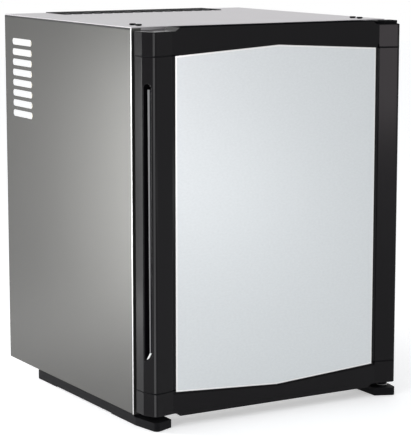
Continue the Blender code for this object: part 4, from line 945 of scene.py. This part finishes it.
def on_outer_rim(edge, outmost, level):
    """Whether an edge lies on the rim of an end cap that faces forwards or sideways."""
    if not edge.is_manifold or any(abs(vert.co.z - level) > LEVEL for vert in edge.verts):
        return False
    if min(abs(vert.co.x) for vert in edge.verts) < CAP_START - 5 * LEVEL:
        return False
    middle = (edge.verts[0].co + edge.verts[1].co) / 2
    side = math.copysign(1, middle.x)
    for face in edge.link_faces:
        ahead = face.normal.y < -CAP_AHEAD and middle.y < CASE_FRONT - CAP_NOSE
        beside = face.normal.x * side > ALONG and middle.x * side > outmost - CAP_SIDE
        if abs(face.normal.z) < ACROSS and (ahead or beside):
            return True
    return False


def round_cap_rims(bm):
    """Rounds the outer rims of a rail's two end caps."""
    outmost = max(vert.co.x for vert in bm.verts)
    sides = [vert for vert in bm.verts if abs(vert.co.x) > outmost - 2 * LEVEL]
    arcs = [vert for vert in sides if vert.co.y < CASE_FRONT - CAP_ARC]
    bmesh.ops.remove_doubles(bm, verts=arcs, dist=ARC_STEP)
    heights = [vert.co.z for vert in bm.verts if vert.co.x > outmost - LEVEL]
    level = max(heights) if min(heights) > HEIGHT_MIDDLE else min(heights)
    rims = [edge for edge in bm.edges if on_outer_rim(edge, outmost, level)]
    bevel(bm, rims, sizes().cap_rim, segments=4)


def paint_moulding_light(piece):
    """Gives the ridge on the handle side and the top of its cap a painted highlight, a black that reflects
    more, and the other tops painted shade, a black that reflects nothing.
    """
    widest = sizes().ridge_width
    verts = piece.data.vertices

    def is_ridge(face):
        across, along = zip(*(verts[index].co.xy for index in face.vertices))
        ahead = face.normal.y < -RIDGE_AHEAD and face.normal.x < -RIDGE_OUTWARDS
        width = math.hypot(max(across) - min(across), max(along) - min(along))
        return ahead and abs(face.normal.z) < ACROSS and width < widest

    def is_top(face):
        return face.normal.z > ALONG

    def is_cap_top(face):
        return is_top(face) and face.center.x < -CAP_START and face.center.z > HEIGHT_MIDDLE

    add_finish(piece, black_painted_highlight(), lambda face: is_ridge(face) or is_cap_top(face))
    add_finish(piece, black_painted_shade(), lambda face: is_top(face) and not is_cap_top(face))


def seam_tongues(post):
    """Locating tongues that close the seams between a post and the two rails."""
    own = sizes()
    bm = node_mesh(post)
    ends = [face for face in bm.faces if abs(face.normal.z) > ALONG]
    widest = max(face.calc_area() for face in ends)
    ends = [face for face in ends if face.calc_area() > widest / 2]
    bmesh.ops.delete(bm, geom=[face for face in bm.faces if face not in ends], context="FACES_ONLY")
    bmesh.ops.delete(bm, geom=[edge for edge in bm.edges if not edge.link_faces], context="EDGES")
    rims = bmesh.ops.inset_region(bm, faces=ends, thickness=own.tongue_inset, use_even_offset=True)["faces"]
    bmesh.ops.delete(bm, geom=rims, context="FACES")
    for vert in new_verts(bmesh.ops.extrude_face_region(bm, geom=list(bm.faces))["geom"]):
        outwards = 1 if vert.co.z > HEIGHT_MIDDLE else -1
        vert.co.z += outwards * own.tongue_length
    finish_piece(f"{post}_tongues", bm, "black_plastic", body="door")


def seal_bellows():
    """Flexible seal of the door: a mitred ring whose profile has a fold on both sides."""
    own = sizes()
    low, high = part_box("door_seal")
    inner = tuple((1 - inset, share) for inset, share in reversed(SEAL_FOLD))
    bm = bmesh.new()
    rings = []
    for inset, share in SEAL_FOLD + inner:
        margin = own.seal_width * inset
        corner = own.seal_corner + own.seal_width * (1 - inset)
        outline = rectangle((low.x + margin, low.z + margin), (high.x - margin, high.z - margin), corner)
        depth = low.y + (high.y - low.y) * share
        rings.append([bm.verts.new((x, depth, z)) for x, z in outline])
    for ring, after in zip(rings, rings[1:] + rings[:1]):
        add_band(bm, ring, after)
    finish_piece("door_seal_bellows", bm, "seal_rubber", ["door_seal"], "door", degrees=25)


# Pieces of the controls


def dial_scale():
    """Raised ticks round the dial, longer towards its highest setting."""
    own = sizes()
    low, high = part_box("temperature_dial")
    middle = (low + high) / 2
    start = (high.x - low.x) / 2 + own.dial_tick
    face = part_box("lamp_housing")[0].y
    half = own.tick_width / 2
    bm = bmesh.new()
    for number in range(own.dial_ticks):
        end = start + own.dial_tick + own.dial_tick_growth * number
        verts = add_box(bm, (-half, face - own.tick_rise, start), (half, face + own.tick_rise, end))
        turn = DIAL_TRAVEL * (number / (own.dial_ticks - 1) - 0.5)
        place = Matrix.Translation((middle.x, 0, middle.z)) @ Matrix.Rotation(turn, 4, "Y")
        bmesh.ops.transform(bm, matrix=place, verts=verts)
    soften(bm, own.hair_edge)
    finish_piece("dial_ticks", bm, "black_plastic")


def dial_pointer():
    """Raised pointer on the dial's face."""
    own = sizes()
    low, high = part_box("temperature_dial")
    middle = (low + high) / 2
    reach = (high.x - low.x) / 2
    half = own.pointer_width / 2
    start, end = (middle.z + reach * share for share in POINTER_SPAN)
    left_front = (middle.x - half, low.y - own.pointer_rise, start)
    right_back = (middle.x + half, low.y + own.pointer_sink, end)
    add_strip("dial_pointer", left_front, right_back, own.hair_edge, "black_plastic", "dial")


# Operators


class FRIDGE_OT_case(bpy.types.Operator):
    """Build the painted sheets of the case"""

    bl_idname = "fridge.case"
    bl_label = "Case Sheets"

    def execute(self, context):
        side_sheet("left_side_sheet", "side_panel_left")
        side_sheet("right_side_sheet", "side_panel_right")
        lid_sheet()
        lid_grille()
        # Black strips of painted shade: under the lid's rim, and behind the lid's slots
        rim_shade_strip("left_lid_rim_shade", -1)
        rim_shade_strip("right_lid_rim_shade", 1)
        slot_shade_strip()
        for node in ("bottom_pan", "rear_plate"):
            round_node(node, "zinc_steel", 0)
        dress_node("foam_insulation", "foam")
        return {"FINISHED"}


class FRIDGE_OT_fasteners(bpy.types.Operator):
    """Build the screws, hinge pins, bushes and the hinge bracket"""

    bl_idname = "fridge.fasteners"
    bl_label = "Screws and Hinges"

    def execute(self, context):
        own = sizes()
        for number in range(1, 5):
            round_node(f"lid_screw_{number}", "black_plastic", own.screw_edge, segments=3)
            round_node(f"foot_screw_{number}", "zinc_steel", own.small_edge)
        round_node("top_hinge_bracket", "black_plastic", own.small_edge)
        for node in ("top_hinge_pin", "bottom_hinge_pin", "bottom_hinge_washer"):
            round_node(node, "zinc_steel", own.small_edge)
        for node in ("top_hinge_bush", "bottom_hinge_bush"):
            round_node(node, "black_plastic", own.small_edge, body="door")
        return {"FINISHED"}


class FRIDGE_OT_feet(bpy.types.Operator):
    """Build the moulded foot rails"""

    bl_idname = "fridge.feet"
    bl_label = "Foot Rails"

    def execute(self, context):
        for node in ("foot_rail_left", "foot_rail_right"):
            round_node(node, "black_plastic", sizes().soft_edge)
        return {"FINISHED"}


class FRIDGE_OT_interior(bpy.types.Operator):
    """Build the liner, the shelf, the lamp and the cold plate"""

    bl_idname = "fridge.interior"
    bl_label = "Cabinet Inside"

    def execute(self, context):
        own = sizes()
        round_node("front_frame", "black_plastic", own.thin_edge)
        round_node("inner_liner", "white_plastic", own.soft_edge, fillet=own.liner_corner)
        round_node("shelf_glass", "shelf_glass", own.middle_edge)
        round_node("shelf_trim", "white_plastic", own.thin_edge)
        round_node("lamp_housing", "white_plastic", own.housing_edge)
        round_node("lamp_lens", "clear_plastic", own.middle_edge)
        round_node("evaporator_fins", "bare_aluminium", own.fin_edge)
        return {"FINISHED"}


class FRIDGE_OT_cooling_unit(bpy.types.Operator):
    """Build the cooling unit in the bay behind the cabinet"""

    bl_idname = "fridge.cooling_unit"
    bl_label = "Cooling Unit"

    def execute(self, context):
        own = sizes()
        for node in ("evaporator_tube", "boiler_tube", "condenser_tube", "absorber_coil"):
            round_node(node, "black_steel", 0)
        round_node("absorber_vessel", "black_steel", own.vessel_edge, segments=5)
        round_node("boiler_jacket", "zinc_steel", own.middle_edge)
        round_node("condenser_fins", "bare_aluminium", 0)
        for node in ("lower_boiler_strap", "upper_boiler_strap", "vessel_saddle", "rear_brace"):
            round_node(node, "zinc_steel", own.small_edge)
        dress_node("heater_cartridge", "zinc_steel")
        round_node("control_box", "black_plastic", own.housing_edge)
        round_node("mains_inlet", "black_plastic", own.thin_edge)
        return {"FINISHED"}


class FRIDGE_OT_door_frame(bpy.types.Operator):
    """Build the door's black mouldings and its front sheet"""

    bl_idname = "fridge.door_frame"
    bl_label = "Door Frame"

    def execute(self, context):
        own = sizes()
        posts, rails = ("handle_post", "hinge_post"), ("door_top_rail", "door_bottom_rail")
        settings = {"body": "door", "segments": 3, "degrees": 11.5, "least": 22}
        for node in posts + rails:
            prepare = round_cap_rims if node in rails else None
            # Each moulding gets a painted highlight on the handle post's ridge and cap top, and painted shade
            # on its other tops
            paint_moulding_light(round_node(node, "black_gloss", own.moulding_edge, prepare=prepare, **settings))
        for node in ("bottom_hole_plug", "top_hole_plug"):
            round_node(node, "black_gloss", own.small_edge, body="door")
        for node in posts:
            seam_tongues(node)
        grip_trim()
        panel_sheet()
        dress_node("door_foam", "foam")
        return {"FINISHED"}


class FRIDGE_OT_door_inside(bpy.types.Operator):
    """Build the door's liner, seal and racks"""

    bl_idname = "fridge.door_inside"
    bl_label = "Door Inside"

    def execute(self, context):
        own = sizes()
        corner = own.door_liner_corner
        round_node("door_liner", "white_plastic", own.door_liner_edge, body="door", fillet=corner)
        seal_bellows()
        for node in ("upper_door_rack", "lower_door_rack"):
            round_node(node, "white_plastic", own.moulding_edge, body="door")
        return {"FINISHED"}


class FRIDGE_OT_controls(bpy.types.Operator):
    """Build the thermostat dial and the sliding bottle stop"""

    bl_idname = "fridge.controls"
    bl_label = "Controls"

    def execute(self, context):
        own = sizes()
        round_node("temperature_dial", "white_plastic", own.middle_edge, body="dial")
        dial_scale()
        dial_pointer()
        round_node("bottle_stop", "white_plastic", own.small_edge, body="stop")
        return {"FINISHED"}


# Stage

WHITE = (1.0, 1.0, 1.0)
FLOOR_GREY = (0.86, 0.86, 0.86)
FLOOR_ROUGHNESS = 0.7
FLOOR_LIFT = 0.45
FLOOR_HALF = 6.0
FLOOR_DROP = 0.0005
SURROUNDINGS = (0.9, 0.92, 0.95)
SURROUNDINGS_STRENGTH = 0.6

# Each lamp's name, place, aim, width, height, power and, where it isn't white, colour
LAMPS = (
    ("front_softbox", (0.3, -2.7, 0.9), (-0.1, 0.0, 0.27), 1.6, 1.4, 0.8),
    ("top_softbox", (0.0, 0.2, 2.6), (0.0, 0.0, 0.3), 2.2, 2.2, 11.0),
    ("side_softbox", (-0.8, 0.52, 0.23), (-0.2, -0.1, 0.15), 0.2, 0.44, 5.4),
    ("left_strip", (-0.92, -0.62, 0.44), (-0.15, -0.2, 0.36), 0.12, 0.3, 2.1),
    ("right_strip", (0.62, -2.7, 0.34), (0.18, -0.2, 0.45), 0.5, 0.5, 3.4, (1.0, 0.9, 0.94)),
    ("low_softbox", (0.66, -1.6, 0.09), (-0.12, -0.17, 0.28), 0.3, 0.14, 0.33),
)

# Solved from the photograph, with angles in radians and lens and sensor in millimetres
CAMERA_PLACE = (-1.34021, -2.29578, 0.66675)
CAMERA_DIP = 0.1623
CAMERA_TURN = -0.53215
CAMERA_LENS = 150.27
CAMERA_SENSOR = 36.0
CAMERA_CLIP = (0.05, 30.0)


def seen_directly(tree):
    """1 where the camera sees a thing itself, in a reflection or through glass."""
    path = tree.nodes.new("ShaderNodeLightPath")
    mirrored = math_node(tree, "MAXIMUM", path.outputs["Is Glossy Ray"], path.outputs["Is Transmission Ray"])
    return math_node(tree, "MAXIMUM", path.outputs["Is Camera Ray"], mirrored)


def floor_material():
    """White floor that keeps the object's shadow and is lifted to white for the camera."""
    material = bpy.data.materials.new("Pale floor")
    material.use_nodes = True
    tree = material.node_tree
    shader = tree.nodes["Principled BSDF"]
    shader.inputs["Base Color"].default_value = (*FLOOR_GREY, 1.0)
    shader.inputs["Roughness"].default_value = FLOOR_ROUGHNESS
    shader.inputs["Emission Color"].default_value = (*WHITE, 1.0)
    lift = math_node(tree, "MULTIPLY", seen_directly(tree), FLOOR_LIFT)
    tree.links.new(lift, shader.inputs["Emission Strength"])
    return material


def studio_floor():
    """Wide plain floor just under the fridge."""
    bm = bmesh.new()
    bmesh.ops.create_grid(bm, x_segments=1, y_segments=1, size=FLOOR_HALF)
    bmesh.ops.translate(bm, vec=(0, 0, -FLOOR_DROP), verts=bm.verts)
    mesh_object("floor", bm, floor_material())


def add_lamp(name, place, aim, width, height, power, colour=WHITE):
    """A soft rectangular lamp at a place, turned to face a point and hidden from the camera."""
    light = bpy.data.lights.new(name, "AREA")
    light.shape = "RECTANGLE"
    light.size = width
    light.size_y = height
    light.energy = power
    light.color = colour
    lamp = add_object(name, light)
    lamp.location = place
    lamp.rotation_euler = (Vector(aim) - Vector(place)).to_track_quat("-Z", "Y").to_euler()
    lamp.visible_camera = False


def studio_world():
    """Even pale surroundings, white where the camera looks past the object."""
    world = bpy.data.worlds.new("Studio")
    bpy.context.scene.world = world
    world.use_nodes = True
    tree = world.node_tree
    tree.nodes["Background"].inputs["Color"].default_value = (*SURROUNDINGS, 1.0)
    tree.nodes["Background"].inputs["Strength"].default_value = SURROUNDINGS_STRENGTH
    seen = tree.nodes.new("ShaderNodeBackground")
    seen.inputs["Color"].default_value = (*WHITE, 1.0)
    mix = tree.nodes.new("ShaderNodeMixShader")
    tree.links.new(seen_directly(tree), mix.inputs["Fac"])
    tree.links.new(tree.nodes["Background"].outputs[0], mix.inputs[1])
    tree.links.new(seen.outputs[0], mix.inputs[2])
    tree.links.new(mix.outputs[0], tree.nodes["World Output"].inputs["Surface"])


def studio_camera():
    """Camera that sees the fridge as the photograph does."""
    camera = bpy.data.cameras.new("camera")
    camera.sensor_width = CAMERA_SENSOR
    camera.lens = CAMERA_LENS
    camera.clip_start, camera.clip_end = CAMERA_CLIP
    view = add_object("camera", camera)
    view.location = CAMERA_PLACE
    view.rotation_euler = (math.radians(90) - CAMERA_DIP, 0.0, CAMERA_TURN)
    bpy.context.scene.camera = view


class FRIDGE_OT_stage(bpy.types.Operator):
    """Set up the floor, the soft lamps, the surroundings and the camera"""

    bl_idname = "fridge.stage"
    bl_label = "Stage"

    def execute(self, context):
        context.scene.view_settings.view_transform = "Standard"
        studio_world()
        studio_floor()
        for lamp in LAMPS:
            add_lamp(*lamp)
        studio_camera()
        return {"FINISHED"}


class FRIDGE_PT_build(bpy.types.Panel):
    """Buttons that build the fridge, group by group"""

    bl_label = "Minibar Fridge"
    bl_space_type = "VIEW_3D"
    bl_region_type = "UI"
    bl_category = "Minibar"

    def draw(self, context):
        column = self.layout.column()
        for step in STEPS:
            column.operator(step.bl_idname)
        for group in (context.scene.fridge_sizes, context.scene.fridge_finishes):
            for name in group.__annotations__:
                column.prop(group, name)


STEPS = (
    FRIDGE_OT_case,
    FRIDGE_OT_fasteners,
    FRIDGE_OT_feet,
    FRIDGE_OT_interior,
    FRIDGE_OT_cooling_unit,
    FRIDGE_OT_door_frame,
    FRIDGE_OT_door_inside,
    FRIDGE_OT_controls,
    FRIDGE_OT_stage,
)
CLASSES = (FridgeSizes, FridgeFinishes, *STEPS, FRIDGE_PT_build)


def register():
    for item in CLASSES:
        bpy.utils.register_class(item)
    bpy.types.Scene.fridge_sizes = PointerProperty(type=FridgeSizes)
    bpy.types.Scene.fridge_finishes = PointerProperty(type=FridgeFinishes)


def unregister():
    del bpy.types.Scene.fridge_finishes
    del bpy.types.Scene.fridge_sizes
    for item in reversed(CLASSES):
        bpy.utils.unregister_class(item)


def main():
    register()
    bpy.ops.fridge.case()
    bpy.ops.fridge.fasteners()
    bpy.ops.fridge.feet()
    bpy.ops.fridge.interior()
    bpy.ops.fridge.cooling_unit()
    bpy.ops.fridge.door_frame()
    bpy.ops.fridge.door_inside()
    bpy.ops.fridge.controls()
    bpy.ops.fridge.stage()


if __name__ == "__main__":
    main()
